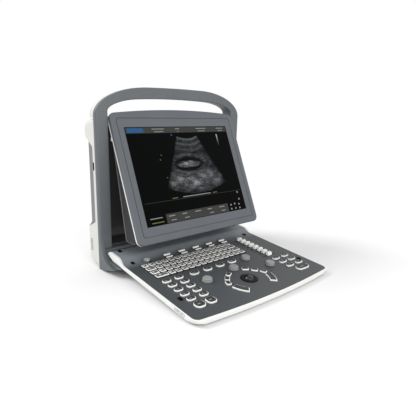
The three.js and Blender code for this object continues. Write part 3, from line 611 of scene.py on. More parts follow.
def rear_details():
    """Screw heads on the rear face, and the contacts inside the probe socket and the ports."""
    heads, pins, tongues = Shape(rearwards), Shape(rearwards), Shape(rearwards)
    for x, z, radius in SHELL_SCREWS:
        lathe(heads, x, z, [(radius, 95.4), (radius, 96.1), (radius - 0.4, 96.5), (radius * 0.55, 96.55),
                            (radius * 0.5, 95.9), (radius * 0.3, 95.9)], steps=24)
    for row in range(3):
        for k in range(14):
            pin = rounded(-92.75 + 3.5 * k, 144.5 + 5.5 * row, 1.3, 1.3, 0.4, 2)
            slab(pins, pin, CONTACT_BASE, 86.6, 0.3)
    for x, width, reach in ((-34, 9, 91.5), (-14, 9, 91.5), (42, 20, 92)):
        slab(tongues, rounded(x, 196, width, 1.2, 0.3, 2), CONTACT_BASE, reach, 0.2)
    for k in range(8):
        slab(tongues, rounded(6.75 + 1.5 * k, 199.6, 0.7, 1.4, 0.2, 2), CONTACT_BASE, 92.5, 0.15)
    for name, shape in (("rear_screws", heads), ("probe_contacts", pins), ("port_contacts", tongues)):
        tower_piece(name, shape, [STEEL], "steel")


def handle_back():
    """The white back half of the handle, grey on the side that faces the hand."""
    ring = arch_ring([(-0.8, GAP), (-0.8, 13), (-1.6, 17), (-3.6, 20), (-6.6, 21.6), (-9.5, HANDLE_DEPTH)],
                     [(6, HANDLE_DEPTH), (3, 21), (1, 19), (0, 16), (0, GAP)], DECK_Z + GAP,
                     tones=[0] * 6 + [1] * 5)
    tower_piece("handle_back_half", ring, [SHELL_WHITE_SHADED, FRAME_GREY], "white_plastic", "handle_back")


# ------------------------------------------------------------------ display head
def front_view(u, v, w):
    """Axes for pieces drawn on the display's face: w is the height towards the viewer."""
    return (u, -w, v)


def display_outline(inset=0, steps=6, bow=10):
    """Outline of the display: crowned top and rounded corners, anticlockwise."""
    h, r = DISPLAY_HALF - inset, DISPLAY_CORNER - inset / 2
    low = -DISPLAY_HEIGHT + inset

    def crown(x):
        return DISPLAY_CROWN * (1 - (x / DISPLAY_HALF) ** 2) - inset
    side = arc((h - r, low + r), r, -90, 0, steps)
    side += arc((h - r, crown(h - r) - r), r, 0, 84, steps)
    side += [(h * (1 - i / bow) * 0.9, crown(h * (1 - i / bow) * 0.9)) for i in range(1, bow)]
    return side + [(0, crown(0))] + [(-x, z) for x, z in reversed(side)]


def display_bezel():
    """The grey frame round the screen, with a groove and a window lip."""
    shape = Shape(axes=front_view)

    def outline(inset, height):
        return level(display_outline(inset), height)

    def frame_loop(width, height, z, radius=4):
        return level(rounded(0, LCD_CENTRE, width, height, radius), z)
    edge = 1.8
    outer = [outline(0, -BEZEL_DEPTH)] + [outline(edge * a, -edge * b) for a, b in ROUNDING]
    shape.walls(outer)
    groove = frame_loop(273, 220, 0)
    shape.fill([outer[-1], groove])
    window = (LCD_WIDTH + 1.2, LCD_HEIGHT + 1.2)
    shape.walls([groove, frame_loop(272.4, 219.4, -1.4), frame_loop(271, 218, -1.4),
                 frame_loop(270.6, 217.6, -0.15), frame_loop(window[0] + 2.4, window[1] + 2.4, -0.9, 1.5),
                 frame_loop(*window, -1.8, 0.6)])
    shape.fill([outline(2.5, -1.8), frame_loop(*window, -1.8, 0.6)])
    shape.walls([outline(2.5, -1.8), outline(2.5, -BEZEL_DEPTH), outer[0]])
    display_piece("display_bezel_front", shape, [BEZEL_GREY], "grey_plastic", "display_bezel")


def display_rim():
    """The light strip behind the bezel."""
    shape = Shape(axes=front_view)
    back, front = -RIM_BACK, -BEZEL_DEPTH - GAP
    section = [(9, front), (0.7, front), (0.2, front - 0.5), (0.2, back + 0.8), (1, back), (9, back)]
    shape.walls([level(display_outline(inset), w) for inset, w in section], loop=True)
    display_piece("display_rim_strip", shape, [KEY_WHITE], "white_plastic", "display_rim")


HOUSING_HALF = DISPLAY_HALF - 4
HOUSING_BACK = [(-238, 12.2), (-236.6, 17), (-232.4, 30), (-227.4, 45.4), (-225.4, 49), (-223.4, 51.2),
                (-221, 52), (-217, 50.9), (-30, 13.6), (-12, 13.4)]


def display_housing():
    """The dark wedge behind the screen, with its rounded rear edges painted lighter as a highlight, and two
    hinge lugs.
    """
    shape = Shape()
    half, front = HOUSING_HALF, RIM_BACK + GAP
    rings = []
    for z in [-12, -30, -60, -90, -120, -150, -180, -205, -217, -221, -223.4, -225.4, -227.4, -232.4,
              -236.6, -238]:
        back = between(z, HOUSING_BACK)
        radius = min(2.4, (back - front) * 0.45)
        corner = arc((half - radius, back - radius), radius, 0, 90, 5)
        ring = [(half, front)] + corner + [(-x, y) for x, y in reversed(corner)] + [(-half, front)]
        rings.append(level(ring, z))
    shape.solid(rings)
    # painted highlight: the faces round the rear corners take the lighter grey
    for k in range(len(rings) - 1):
        for i in [*range(1, 5), *range(len(ring) - 6, len(ring) - 2)]:
            shape.numbers[1 + k * len(ring) + i] = 1
    lug = [(front - 0.2, -14), (13.4, -14), (13.4, -8), (19.5, -5.5), (19.5, 2), (17.5, 4), (front, 4)]
    for x in (-73, 73):
        made = prism(lug, x - 7, x + 7, 0.4)
        shape.add(made.verts, made.faces)
    display_piece("display_back_cover", shape, [HOUSING_GREY, HOUSING_HIGHLIGHT], "dark_plastic",
                  "display_rear_housing")


def cover_sides():
    """A raised bead along the rear edge of each side of the back cover, in a lighter grey that paints a
    highlight, and the small white stop.
    """
    half, proud, sunk, inset = HOUSING_HALF, 0.7, 0.5, 1.2
    for side, name in ((-1, "cover_highlight_bead_left"), (1, "cover_highlight_bead_right")):
        rings = []
        for z in [-48, -90, -120, -150, -180, -205, -217, -221, -225.4, -229, -234]:
            back = between(z, HOUSING_BACK) - inset
            ring = [(half - sunk, back), (half + proud, back - 0.4), (half + proud, back - 2.2),
                    (half - sunk, back - 2.6)]
            rings.append(level([(side * x, y) for x, y in ring], z))
        bead = Shape()
        bead.solid(rings)
        display_piece(name, bead, [HOUSING_HIGHLIGHT], "dark_plastic")
    pin = prism(rounded(-13, 243.5, 5, 7, 1.8), -145.2, -143.2, 0.4)
    make("display_stop_pin", pin.mesh(TOWER, "display_stop_pin"), [KEY_WHITE], "display", "white_plastic")


# ------------------------------------------------------------------ control panel
PANEL_BACK = -20.8
BACK_EDGE = [(-28, RAMP_RISE), (-25, 6.9), (-23, 5.6), (-21.6, 3.9), (PANEL_BACK, 2.4)]
UNDERSIDE = [(-320, -11.3), (-70.9, -8.1), (-38.3, -8.7), (-30, -5.6), (-26.6, -3.6), (-22.4, -1.4),
             (PANEL_BACK, 0.4)]
BELLY_HALF = 130
BELLY = [(-280, -11), (-274, -11.2), (-182, -18.6), (-100, -18.6), (-88, -8)]
Y_CUTS = [-280 + 8 * i for i in range(25)] + [-80 + 2.5 * i for i in range(12)] + [
    -50, -38.3, -34, -30, -28, -26.6, -25, -23.8, -22.4, -21.6]
PAD_SPOTS = [(-143, -75), (141, -76), (-144, -220), (146, -224), (-146, -33), (146, -33)]


def surface_height(y):
    """Height of the control surface above its plane: a ramp to a raised band with a rounded back."""
    return between(y, BACK_EDGE) if y > BACK_EDGE[0][0] else RAMP_RISE * blend(y, RAMP_TOE, RAMP_TOP)


def underside(x, y):
    """Height of the tub's underside, with the belly that carries the electronics."""
    base = between(y, UNDERSIDE)
    drop = min(0, between(y, BELLY) - base) if BELLY[0][0] < y < BELLY[-1][0] else 0
    return base + drop * (1 - blend(abs(x), BELLY_HALF - 12, BELLY_HALF))


def band_inset(y):
    """How far the cover's edge moves in beside the raised band, where the tub's rim widens."""
    return BAND_INSET * blend(y, RAMP_TOE - 4, RAMP_TOP - 6)


def panel_plan(inset, radius=13, steps=8, bow=14):
    """Plan outline of the panel with a bowed front edge, anticlockwise."""
    half, front, r = PANEL_HALF - inset, PANEL_FRONT + inset, max(radius - inset, 2)

    def edge(x):
        return front - PANEL_BOW * (1 - (x / half) ** 2)
    corner = arc((half - r, edge(half - r) + r), r, -86, 0, steps)
    side = [(half, PANEL_BACK - inset * 0.3)]
    bow_points = [(half * (2 * i / bow - 1) * 0.9, edge(half * (2 * i / bow - 1) * 0.9))
                  for i in range(bow + 1)]
    right = corner + side
    return bow_points + right + [(-x, y) for x, y in reversed(right)]


def panel_tub():
    """The white tub: a tray with rounded flanks, a rim round the cover and a belly underneath."""
    shape = Shape()
    flank = [(5, 0, 35), (3, 0.03, 32), (1.4, 0.09, 29), (0.5, 0.18, 26), (0.1, 0.3, 23), (0, 0.45, 19.5),
             (0, 0.7, 15), (0, 0.94, 13), (0.3, 0.99, 13), (0.9, 1, 13), (2, 1, 13), (2.3, 0.97, 13),
             (2.3, 0.7, 16), (2.3, 0.16, 28)]
    rings = [level(panel_plan(inset, radius), share) for inset, share, radius in flank]
    shape.solid(rings)

    def shaped(p):
        low = underside(p.x, p.y)
        rim = PANEL_HALF - 2.6 < abs(p.x) < PANEL_HALF - 1.9
        x = p.x - math.copysign(band_inset(p.y) if rim else 0, p.x)
        return Vector((x, p.y, low + p.z * (surface_height(p.y) - low)))
    x_cuts = [side * (BELLY_HALF - 12 + 2 * i) for side in (-1, 1) for i in range(7)]
    mesh = bent(shape, "panel_tub", PANEL, shaped, [(ALONG, Y_CUTS), (ACROSS, x_cuts)])
    slots = [(x - 5, x + 5, -39, -10, -20, 3) for x in HINGES]
    mesh = carved(mesh, bricks(PANEL, *slots))
    make("panel_tub", mesh, [TUB_WHITE], "panel", "white_plastic", "panel_bottom_tub")


# keys in the panel's axes: centre, width across, depth up the slope, corner radius
LEFT_KEYS = [(x, -162.4 - row * 16.5, 16, 10.2, 4.5) for x in (-129.5, -104.3) for row in range(5)]
RIGHT_KEYS = [(x, -198.6 - row * 17.5, 17.6, 9.8, 4.5) for x in (106.2, 132.3) for row in range(3)]
ARC_KEYS = [(-24, -200, 30), (-37, -211, 48), (-46, -223, 68), (18, -200, -30), (30, -212, -50),
            (40, -225, -70)]
ARC_KEY_SIZE = (12.5, 9)
ARC_BAND = dict(inner=36.5, outer=49, start=-9, stop=-45)
HOLE_FIT = 0.4
SLIDER_SLOT = (32, 3, 1.4)
KNOB_HOLE = 3.6
BUTTON_HOLE = 6.7
BALL_HOLE = 14.4
ALPHA = dict(left=-138, right=73, pitch=14.06, row=14.3, top=-92.6, key=12.3, first=(12.3, 19, 16, 26))
KNOBS = ["knob_1", "knob_2", "knob_3", "knob_4"]
SLIDERS = [f"gain_slider_{i}" for i in range(1, 9)]
ROCKERS = [f"rocker_{i}" for i in range(1, 6)]
ROCKER_SIZE = (15.5, 13.5)
LOOSE_KEYS = {**{f"oval_key_{i}": (17.8, 11.8, 5.6) for i in range(1, 5)}, "freeze_key": (18.6, 17, 7),
              "save_key": (17, 17, 6), "print_key": (32, 15, 7.4)}
ARC_SIDES = {"arc_key_left": -1, "arc_key_right": 1}


def alpha_row(row):
    """The keys of one alphanumeric row, as (x, y, width, depth, radius)."""
    a = ALPHA
    y = a["top"] - a["row"] * row - a["key"] / 2
    first = a["first"][row]
    keys = [(a["left"] + first / 2, y, first, a["key"], 2)]
    x = a["left"] + first + a["pitch"] - a["key"]
    while x + a["key"] + a["pitch"] < a["right"]:
        keys.append((x + a["key"] / 2, y, a["key"], a["key"], 2))
        x += a["pitch"]
    keys.append(((x + a["right"]) / 2, y, a["right"] - x, a["key"], 2))
    return keys


def turned_key(x, y, turn, width, depth, radius=2):
    """Outline of a small key that is turned about its middle."""
    cos, sin = math.cos(math.radians(turn)), math.sin(math.radians(turn))
    return [(x + u * cos - v * sin, y + u * sin + v * cos)
            for u, v in rounded(0, 0, width, depth, radius, 3)]


def arc_band(side, steps=10):
    """Outline of the long curved key on one side of the trackball, anticlockwise."""
    sweep = ARC_BAND["stop"] - ARC_BAND["start"]
    turns = [ARC_BAND["start"] + sweep * i / steps for i in range(steps + 1)]
    path = [(ARC_BAND["outer"], turn) for turn in turns]
    path += [(ARC_BAND["inner"], turn) for turn in reversed(turns)]
    loop = [(BALL[0] + side * r * math.cos(math.radians(t)), BALL[1] + r * math.sin(math.radians(t)))
            for r, t in path]
    return loop if side < 0 else loop[::-1]


def cover_holes():
    """Outlines of every hole in the top cover."""
    def hole(x, y, width, depth, radius, steps=4):
        return rounded(x, y, width + 2 * HOLE_FIT, depth + 2 * HOLE_FIT, radius, steps)
    holes = [hole(x, y, w, d, r + HOLE_FIT) for x, y, w, d, r in LEFT_KEYS + RIGHT_KEYS]
    holes += [hole(*spot(name), w, d, r + HOLE_FIT, 6) for name, (w, d, r) in LOOSE_KEYS.items()]
    holes += [hole(*spot(name), *ROCKER_SIZE, 1, 2) for name in ROCKERS]
    middle, width = (ALPHA["left"] + ALPHA["right"]) / 2, ALPHA["right"] - ALPHA["left"]
    holes += [hole(middle, alpha_row(row)[0][1], width, ALPHA["key"], 2) for row in range(4)]
    holes += [rounded(*spot(name), *SLIDER_SLOT, 3) for name in SLIDERS]
    holes += [circle(*spot(name), KNOB_HOLE, 16) for name in KNOBS]
    holes += [circle(*spot("power_button"), BUTTON_HOLE), circle(*BALL, BALL_HOLE, 40)]
    holes += [turned_key(x, y, turn, *(size + 2 * HOLE_FIT for size in ARC_KEY_SIZE))
              for x, y, turn in ARC_KEYS]
    return holes + [offset(arc_band(side), HOLE_FIT) for side in ARC_SIDES.values()]


def panel_cover():
    """The grey control surface with its ramp, its raised band and a hole for each control."""
    shape = Shape()
    edge, thick = 0.35, -2
    plan = [(x, min(y, PANEL_BACK - 0.6)) for x, y in panel_plan(COVER_INSET)]
    holes = cover_holes()
    shape.fill([level(offset(plan, -edge), 0)] + [level(offset(hole, edge), 0) for hole in holes])
    shape.fill([level(plan, thick)] + [level(hole, thick) for hole in holes])
    for loop, sign in [(plan, -1)] + [(hole, 1) for hole in holes]:
        shape.walls([level(loop, thick), level(loop, -edge),
                     level(offset(loop, sign * edge * 0.3), -edge * 0.3),
                     level(offset(loop, sign * edge), 0)])

    def shaped(p):
        edge_shift = band_inset(p.y) if abs(p.x) > COVER_HALF - 1 else 0
        return Vector((p.x - math.copysign(edge_shift, p.x), p.y, p.z + surface_height(p.y)))
    mesh = bent(shape, "panel_cover", PANEL, shaped, [(ALONG, [y for y in Y_CUTS if y > -95])])
    piece = make("panel_cover", mesh, [PANEL_GREY_WITH_PAINTED_BAND_LIGHT], "panel", "grey_plastic", "panel_top_cover", sharp=18)
    up = (PANEL.to_3x3() @ Vector((0, 0, 1))).normalized()
    for face in piece.data.polygons:                 # flat shading keeps thin triangles from showing
        face.use_smooth = face.normal.dot(up) < PARALLEL


def cap(shape, loop, base, top, dish=0.2, rim=0.8, shift=0.4, numbers=(0, 1), shaded_skirt=None):
    """A key cap: a body with softened edges and a printed top that leaves a lip along the front."""
    body, face = numbers
    # shaded_skirt: the two lowest wall bands take a dark colour as painted shade in the gaps between keys
    first = body if shaded_skirt is None else shaded_skirt
    shape.solid([level(offset(loop, inset), height) for inset, height in
                 ((0, base), (0, top - 0.7), (-0.1, top - 0.3), (-0.25, top - 0.08), (-0.45, top))]
                + [[(x, y + shift, top) for x, y in offset(loop, -rim)],
                   [(x, y + shift, top - dish) for x, y in offset(loop, -rim - 0.2)]],
                [first, first, body, body, body, face, face])


def legend(shape, x, y, width, depth, top, number):
    """A printed mark on a key: a thin raised bar, not a letter."""
    shape.solid([level(rounded(x, y, width, depth, min(width, depth) * 0.3, 2), h)
                 for h in (top - 0.1, top + 0.06)], number)


def keymats():
    """The four silicone mouldings whose keys come up through the cover."""
    letters = Shape()
    print_top = KEY_RISE - 0.12
    # painted shade: the web under the letters and each key's skirt are dark so the gaps show shade
    letters.box(-141, 76, -153, -91, *WEB, 2)
    for row in range(4):
        for k, (x, y, w, d, r) in enumerate(alpha_row(row)):
            cap(letters, rounded(x, y, w - 0.8, d - 0.8, r), KEYMAT_BASE, KEY_RISE, dish=0.12, rim=1.7,
                shift=0.85, shaded_skirt=2)
            legend(letters, x - w * 0.12, y + 1.9, 3.2 + (k * 7 + row * 3) % 3 * 0.7, 2.8, print_top, 3)
            if (k + row) % 3 == 0:
                legend(letters, x + w * 0.2, y - 1.6, 2.2, 1.4, print_top, 3)
    panel_piece("alphanumeric_keys", letters, [KEY_WHITE, LETTER_TOP, KEY_TOP_AND_GAP_SHADE, LETTER_MARK], "panel",
                "key_silicone", "alphanumeric_keymat")
    for name, node, keys, web in (("left_keys", "left_keymat", LEFT_KEYS, (-141, -92, -236, -155)),
                                  ("right_keys", "right_keymat", RIGHT_KEYS, (93, 145, -241.6, -190))):
        shape = Shape()
        # painted shade: the web under these keys is dark so the gaps round them show shade
        shape.box(*web, *WEB, 1)
        for x, y, w, d, r in keys:
            cap(shape, rounded(x, y, w, d, r), KEYMAT_BASE, KEY_RISE)
            legend(shape, x - 1.5, y, w * 0.32, 1.1, KEY_RISE - 0.25, 2)
        panel_piece(name, shape, [KEY_WHITE, KEY_TOP_AND_GAP_SHADE, MARK_GREY], "panel", "key_silicone", node)
    ring = Shape()
    for x, y, turn in ARC_KEYS:
        cap(ring, turned_key(x, y, turn, *ARC_KEY_SIZE), -3.3, KEY_RISE)
    panel_piece("trackball_keys", ring, [KEY_WHITE, KEY_TOP_AND_GAP_SHADE], "panel", "key_silicone", "trackball_keymat")


def loose_keys():
    """The keys that move on their own."""
    finish = dict(rim=0.9, dish=0.3)
    for name, (w, d, r) in LOOSE_KEYS.items():
        x, y = spot(name)
        shape = Shape()
        cap(shape, rounded(x, y, w, d, r, 6), LOOSE_KEY_BASE, KEY_RISE, shift=0.5, **finish)
        legend(shape, x - 1, y + 0.6, w * 0.3, 1.3, KEY_RISE - 0.3, 2)
        panel_piece(f"{name}_cap", shape, [KEY_WHITE, KEY_TOP_AND_GAP_SHADE, MARK_GREY], name, "key_silicone", name)
    for name, side in ARC_SIDES.items():
        shape = Shape()
        cap(shape, arc_band(side), LOOSE_KEY_BASE, KEY_RISE, shift=0.45, **finish)
        panel_piece(f"{name}_cap", shape, [KEY_WHITE, KEY_TOP_AND_GAP_SHADE], name, "key_silicone", name)
    for name in ROCKERS:
        rocker(name)


def rocker(name):
    """A paddle: two bright bars, the rear one taller, on a dark saddle."""
    x, y = spot(name)
    base = surface_height(y - ROCKER_SIZE[1] / 2)
    shape = Shape()
    slab(shape, rounded(x, y, *ROCKER_SIZE, 0.8, 2), base - 3, base + 1.6, 0.4, 1)
    for back, depth, top, radius in ((4.2, 3.6, 4.4, 1.2), (-4.9, 3.2, 2.9, 1.4)):
        cap(shape, rounded(x, y + back, 15.2, depth, radius), base - 1, base + top, dish=0.05, rim=0.6,
            shift=0, numbers=(0, 0))
    panel_piece(f"{name}_cap", shape, [KEY_WHITE, KEY_TOP_AND_GAP_SHADE], name, "key_silicone", name)


def lathe(shape, x, y, profile, steps=48, loop=False, numbers=0, ribs=0, depth=0.0):
    """A body of revolution from (radius, height) points; ribs flutes the points marked in the profile."""
    rings = []
    for radius, height, *fluted in profile:
        ring = []
        for i in range(steps):
            t = math.tau * i / steps
            r = radius - (depth * (0.5 + 0.5 * math.cos(ribs * t)) if fluted else 0)
            ring.append((x + r * math.cos(t), y + r * math.sin(t), height))
        rings.append(ring)
    if loop:
        shape.walls(rings, numbers, loop=True)
    else:
        shape.solid(rings, numbers)


def knobs():
    """Four ribbed control knobs, each with a pointer mark."""
    for name in KNOBS:
        x, y = spot(name)
        shape = Shape()
        lathe(shape, x, y, [(3, -4), (3, 0.3), (9.2, 0.45), (9.3, 1.2), (9, 1.6, 1), (8.5, 5, 1),
                            (8.1, 5.7), (7.4, 6.2), (6.4, 6.4), (5.4, 6.3), (4.6, 6)],
              steps=96, ribs=24, depth=0.55)
        legend(shape, x, y - 6.4, 0.9, 2.6, 6.32, 1)
        panel_piece(f"{name}_grip", shape, [KNOB_GREY, MARK_GREY], name, "knob_plastic", name)


def sliders():
    """Eight gain sliders with grooved grips."""
    half = [(5.4, 5.6), (4.9, 6.5), (4, 6.8), (3.2, 6.1), (2.4, 6.8), (1.2, 6.8), (0.4, 6.1)]
    profile = [(-6, 0.5), (6, 0.5)] + half + [(-u, v) for u, v in reversed(half)]
    for name in SLIDERS:
        x, y = spot(name)
        grip = Shape(lambda u, v, w: (x + u, y + w * (3.6 - max(v, 0) * 0.18) / 3.6, v))
        grip.solid([level([(u * s, v) for u, v in profile], w)
                    for s, w in ((0.95, -3.6), (1, -3.3), (1, 3.3), (0.95, 3.6))])
        whole = Shape()
        whole.add(grip.verts, grip.faces)
        whole.box(x - 2.4, x + 2.4, y - 1, y + 1, -3.9, 0.6)
        panel_piece(f"{name}_grip", whole, [KEY_WHITE], name, "key_silicone", name)


def trackball_group():
    """The trackball and its retaining ring."""
    ring = Shape()
    lathe(ring, *BALL, [(10, -4.8), (14, -4.8), (14, 0.35), (16, 0.35), (15.9, 0.7), (14.9, 1.35), (14, 1.5),
                        (10, 1.5), (9.2, 1.3), (9, 0.9), (9.9, -0.9)], steps=64, loop=True)
    panel_piece("trackball_bezel", ring, [RING_BLACK], "panel", "dark_plastic", "trackball_ring")
    ball = Shape()
    turns = [math.radians(a) for a in range(-88, 89, 8)]
    lathe(ball, *BALL, [(BALL_RADIUS * math.cos(t), BALL_HEIGHT + BALL_RADIUS * math.sin(t))
                        for t in turns])
    panel_piece("trackball_ball", ball, [BALL_BLACK], "trackball", "trackball", "trackball", sharp=60)


def power_button():
    """A round dished button with a bright ring."""
    shape = Shape()
    lathe(shape, *spot("power_button"),
          [(7.1, -3), (7.1, -2.3), (6.3, -2.2), (6.3, 4.4), (6.1, 4.9), (5.6, 5.1), (4.7, 5.1),
           (4.5, 4.6), (3, 4.1), (1.2, 3.9)],
          numbers=[0, 0, 1, 1, 0, 0, 0, 0, 0, 0])
    panel_piece("power_button_cap", shape, [BUTTON_GREY, STEEL], "power_button", "knob_plastic",
                "power_button")


def flank_marks():
    """A covered service socket on the tub's left flank: a grey outline with two short bars."""
    shape = Shape(sideways)
    for y0, y1, h0, h1 in ((-256, -232, -1.6, -1.1), (-256, -232, -5.6, -5.1), (-256, -255.4, -5.6, -1.1),
                           (-232.6, -232, -5.6, -1.1), (-252, -247, -3.8, -3), (-244, -236, -3.8, -3)):
        shape.box(y0, y1, h0, h1, -163.7, -162.6)
    panel_piece("flank_socket_marks", shape, [FRAME_GREY], "panel", "grey_plastic")


def pads():
    """Black rubber bumpers that the folded display rests on."""
    shape = Shape()
    for x, y in PAD_SPOTS:
        top = surface_height(y)
        slab(shape, rounded(x, y, 6.5, 9.5, 2), top - 0.6, top + 1.3, 0.6)
    panel_piece("panel_bumpers", shape, [RUBBER], "panel", "rubber")


# ------------------------------------------------------------------ carried-over nodes
def carried_nodes():
    """CAD nodes that keep their shape and are only given a material."""
    for material, *nodes in (
            (TRAY_BLACK, "display_tray"),
            (DARK_PLASTIC, "battery_pack", "fan_frame", "fan_rotor", "probe_socket", "port_block",
             "power_inlet"),
            (STEEL, "display_hinge_pin", "panel_hinge_pin", "power_supply"),
            (BOARD_GREEN, "main_board", "keyboard_board"),
            (RUBBER, "tower_foot_left", "tower_foot_right", "panel_foot_left", "panel_foot_right"),
            (SHELL_WHITE_SHADED, "battery_cover"),
            (KNOB_GREY, "probe_lock"),
            (SCREEN_GLASS, "lcd_module")):
        for node in nodes:
            looks = frame["nodes"][node].data.materials
            looks.clear()
            looks.append(material)


# ------------------------------------------------------------------ picture on the screen
SECTOR = dict(apex=(12, 126), inner=58, outer=170, spread=25.5)


def echo_strength(x, w, turn, radius):
    """Brightness of the ultrasound picture: layered tissue round a dark oval with a bright core."""
    def oval(cx, cw, rx, rw, soft):
        return 1 - blend(math.hypot((x - cx) / rx, (w - cw) / rw), 1 - soft, 1 + soft)
    streaks = noise.noise(Vector((turn * 0.16, radius * 0.35, 1)))
    clouds = noise.noise(Vector((x * 0.055, w * 0.09, 7)))
    speckle = noise.noise(Vector((turn * 0.9, radius * 0.8, 3)))
    layers = 0.5 + 0.5 * math.sin(radius * 0.55 + 1.4 * noise.noise(Vector((turn * 0.07, 5, 2))))
    near = 1 - blend(radius, 60, 98)
    value = 0.035 + 0.03 * clouds + 0.10 * near * layers ** 2 + 0.07 * max(0, streaks)
    deep = blend(w, 8, -14) * (1 - blend(radius, 148, 170))
    value += deep * (0.05 + 0.34 * max(0, clouds + 0.12) + 0.10 * max(0, streaks))
    kidney = oval(1, 16, 37, 15.5, 0.22)
    value += 0.10 * (oval(1, 16, 42, 20, 0.2) - kidney) * (0.6 + streaks)
    value *= 1 - 0.82 * kidney
    core = oval(2, 15.5, 23, 5.6, 0.45)
    value += core * (0.10 + 0.42 * max(0, streaks + 0.25))
    value *= 0.72 + 1.25 * max(-0.45, speckle)
    side = 1 - blend(abs(turn), SECTOR["spread"] - 3, SECTOR["spread"])
    return max(0, value) * (0.35 + 0.65 * side)


def echo_material():
    """Screen light that follows the echo attribute, with a fine speckle."""
    material, bsdf = shader("echo_picture", (0, 0, 0), 0.4, specular=0.02)
    tree = material.node_tree
    attribute = tree.nodes.new("ShaderNodeAttribute")
    attribute.attribute_name = "echo"
    speckle = map_range(tree, noise_value(tree, 900, 3), 0.45, 1.55)
    lit = tree.nodes.new("ShaderNodeMix")
    lit.data_type = "RGBA"
    lit.blend_type = "MULTIPLY"
    lit.inputs["Factor"].default_value = 1
    tree.links.new(attribute.outputs["Color"], lit.inputs["A"])
    tree.links.new(speckle.outputs["Result"], lit.inputs["B"])
    tree.links.new(lit.outputs["Result"], bsdf.inputs["Emission Color"])
    bsdf.inputs["Emission Strength"].default_value = 1
    return material


def scan_picture():
    """The fan-shaped scan and its grey scale, as thin sheets on the glass that carry their brightness."""
    turns, rows = ((110, 130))
    ax, aw = SECTOR["apex"]
    proud, sunk = 0.05, 0.01
    verts, tones, faces = [], [], []
    for j in range(rows + 1):
        radius = SECTOR["inner"] + (SECTOR["outer"] - SECTOR["inner"]) * j / rows
        for i in range(turns + 1):
            turn = SECTOR["spread"] * (2 * i / turns - 1)
            x = ax + radius * math.sin(math.radians(turn))
            w = aw - radius * math.cos(math.radians(turn))
            verts.append((x, w, proud))
            tones.append(echo_strength(x, w, turn, radius))
    step = turns + 1
    faces += [[j * step + i, j * step + i + 1, (j + 1) * step + i + 1, (j + 1) * step + i]
              for j in range(rows) for i in range(turns)]
    rim = list(range(step)) + [j * step + turns for j in range(1, rows + 1)]
    rim += [rows * step + i for i in range(turns - 1, -1, -1)]
    rim += [j * step for j in range(rows - 1, 0, -1)]
    under = [len(verts) + k for k in range(len(rim))]
    verts += [(verts[k][0], verts[k][1], sunk) for k in rim]
    tones += [tones[k] for k in rim]
    faces += [[rim[k - 1], rim[k], under[k], under[k - 1]] for k in range(len(rim))] + [under]
    for k in range(12):
        first = len(verts)
        w0, w1 = 45 + 2.5 * k, 47.5 + 2.5 * k
        verts += [(x, w, h) for h in (sunk, proud) for x, w in ((90, w0), (93, w0), (93, w1), (90, w1))]
        tones += [(k / 12) ** 2 * 0.6] * 8
        faces += [[first + i for i in face] for face in
                  ((0, 3, 2, 1), (4, 5, 6, 7), (0, 1, 5, 4), (1, 2, 6, 5), (2, 3, 7, 6), (3, 0, 4, 7))]
    mesh = bpy.data.meshes.new("scan_picture")
    mesh.from_pydata([DISPLAY @ Vector((x, LCD_FACE - h, LCD_CENTRE + w)) for x, w, h in verts], [], faces)
    layer = mesh.color_attributes.new("echo", "FLOAT_COLOR", "POINT")
    for item, tone in zip(layer.data, tones):
        item.color = (tone * 0.86, tone * 0.91, tone * 0.96, 1)
    make("scan_picture", mesh, [echo_material()], "display", "screen", weighted=False)


def screen_marks():
    """Bars, dashes and ticks round the scan. They stand for menus and readings and spell nothing."""
    shape = Shape(lambda u, v, w: (u, LCD_FACE - w, LCD_CENTRE + v))

    def bar(x0, x1, w0, w1, number, height=0.05):
        shape.box(x0, x1, w0, w1, 0.01, height, number)
    bar(-122, 122, 80.5, 91.8, 0)
    bar(-80, 74, -91.8, -74.5, 0)
    bar(-119, -85, 82, 90, 3, 0.08)
    for x0, x1 in ((-66, -38), (-12, -2), (40, 66), (95, 114)):
        bar(x0, x1, 87.6, 89.2, 1, 0.08)
        bar(x0 + 4, x1 - 3, 82.4, 83.8, 1, 0.08)
    for k in range(5):
        x = -74 + 31 * k
        bar(x, x + 14 - 3 * (k % 2), -80, -78.2, 1, 0.08)
        if k != 2:
            bar(x + 4, x + 15, -88, -86.4, 1, 0.08)
    bar(-114, -88, -80, -78.4, 1)
    bar(-112, -86, -88, -86.4, 2)
    bar(-32, 37, -48.4, -46.8, 1)
    bar(-57, -44, -48.2, -46.9, 2)
    bar(43, 54, -48.2, -46.9, 2)
    bar(-118, 119, -50.9, -50.3, 0)
    for x, w in ((-60, 36), (-64, 27), (-58, -8), (-52, -26)):
        bar(x, x + 2.4, w, w + 1.4, 2)
    bar(-25.6, -22.6, 74.8, 77.6, 4)
    for x, w in ((109.5, -54.5), (109.5, -69.5), (83, -79), (94, -78), (106, -80), (82.5, -87.5),
                 (94.5, -87.5), (106, -88)):
        bar(x - 1.7, x + 1.7, w - 1.7, w + 1.7, 1)
    make("screen_marks", shape.mesh(DISPLAY, "screen_marks"),
         [UI_BAR, UI_TEXT, UI_YELLOW, UI_BLUE, UI_BLUE], "display", "screen", weighted=False)


# ------------------------------------------------------------------ stage, lights, camera
AZIMUTH = math.radians(40.917)
ELEVATION = math.radians(14.07)
ROLL = math.radians(1.548)
DISTANCE = 0.90496
LOOK_AT = Vector((0.09696, 0, 0.08068))         # from the middle of the seam at table height
SENSOR = 36
LENS = 34.258
SUN_FROM = Vector((-0.6, 0.7, 0.75))


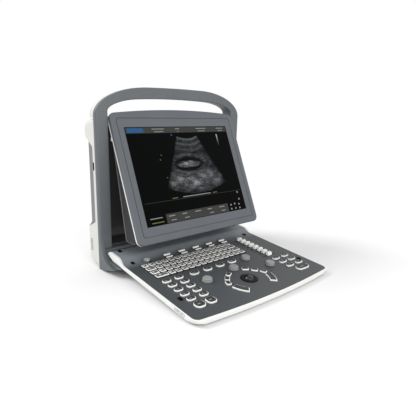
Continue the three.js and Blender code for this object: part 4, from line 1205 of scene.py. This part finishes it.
def camera():
    """Camera in front of the object on its left, a little above it."""
    data = bpy.data.cameras.new("camera")
    data.sensor_width = SENSOR
    data.lens = LENS
    data.clip_start, data.clip_end = 0.01, 100
    eye = added("camera", data)
    ahead = Vector((math.cos(ELEVATION) * math.sin(AZIMUTH), math.cos(ELEVATION) * math.cos(AZIMUTH),
                    -math.sin(ELEVATION)))
    flat = Vector((math.cos(AZIMUTH), -math.sin(AZIMUTH), 0))
    over = flat.cross(ahead)
    right = flat * math.cos(ROLL) + over * math.sin(ROLL)
    up = over * math.cos(ROLL) - flat * math.sin(ROLL)
    turn = Matrix((right, up, -ahead)).transposed().to_4x4()
    place = Vector((0, seam, 0)) + LOOK_AT - ahead * DISTANCE
    eye.matrix_world = Matrix.Translation(place) @ turn
    bpy.context.scene.camera = eye


def light(name, place, size, power, target=(0, 0, 0.15)):
    """A round lamp at a place, shining at a target."""
    data = bpy.data.lights.new(name, "AREA")
    data.shape = "DISK"
    data.size = size
    data.energy = power
    lamp = added(name, data)
    lamp.location = place
    lamp.rotation_euler = (Vector(target) - Vector(place)).to_track_quat("-Z", "Y").to_euler()


def stage():
    """A pale floor under a white sky, with lamps in front and a soft sun behind on the left."""
    half = 4
    data = bpy.data.meshes.new("floor")
    data.from_pydata([(-half, -half, 0), (half, -half, 0), (half, half, 0), (-half, half, 0)], [],
                     [(0, 1, 2, 3)])
    data.materials.append(moulded("floor_white", (0.72, 0.72, 0.72), 0.8, grain=60, bump=0.02, mottle=0.004,
                                  specular=0.1))
    added("floor", data)
    world = bpy.data.worlds.new("studio")
    world.use_nodes = True
    world.node_tree.nodes["Background"].inputs["Color"].default_value = (1, 1, 1, 1)
    world.node_tree.nodes["Background"].inputs["Strength"].default_value = 1
    bpy.context.scene.world = world
    light("key_light", (-0.8, -2.3, 1.1), 1.3, 8)
    light("front_light", (-0.2, -2.4, 0.45), 1.2, 20, target=(0, 0, 0.05))
    sun = bpy.data.lights.new("sky_light", "SUN")
    sun.energy = 2
    sun.angle = math.radians(24)
    added("sky_light", sun).rotation_euler = SUN_FROM.to_track_quat("Z", "Y").to_euler()
    bpy.context.scene.view_settings.view_transform = "Standard"


camera()
stage()
front_frame()
rear_shell()
vent_liners()
rear_details()
handle_back()
display_bezel()
display_rim()
display_housing()
cover_sides()
panel_tub()
panel_cover()
keymats()
loose_keys()
knobs()
sliders()
trackball_group()
power_button()
flank_marks()
pads()
carried_nodes()
scan_picture()
screen_marks()

bpy.context.view_layer.update()
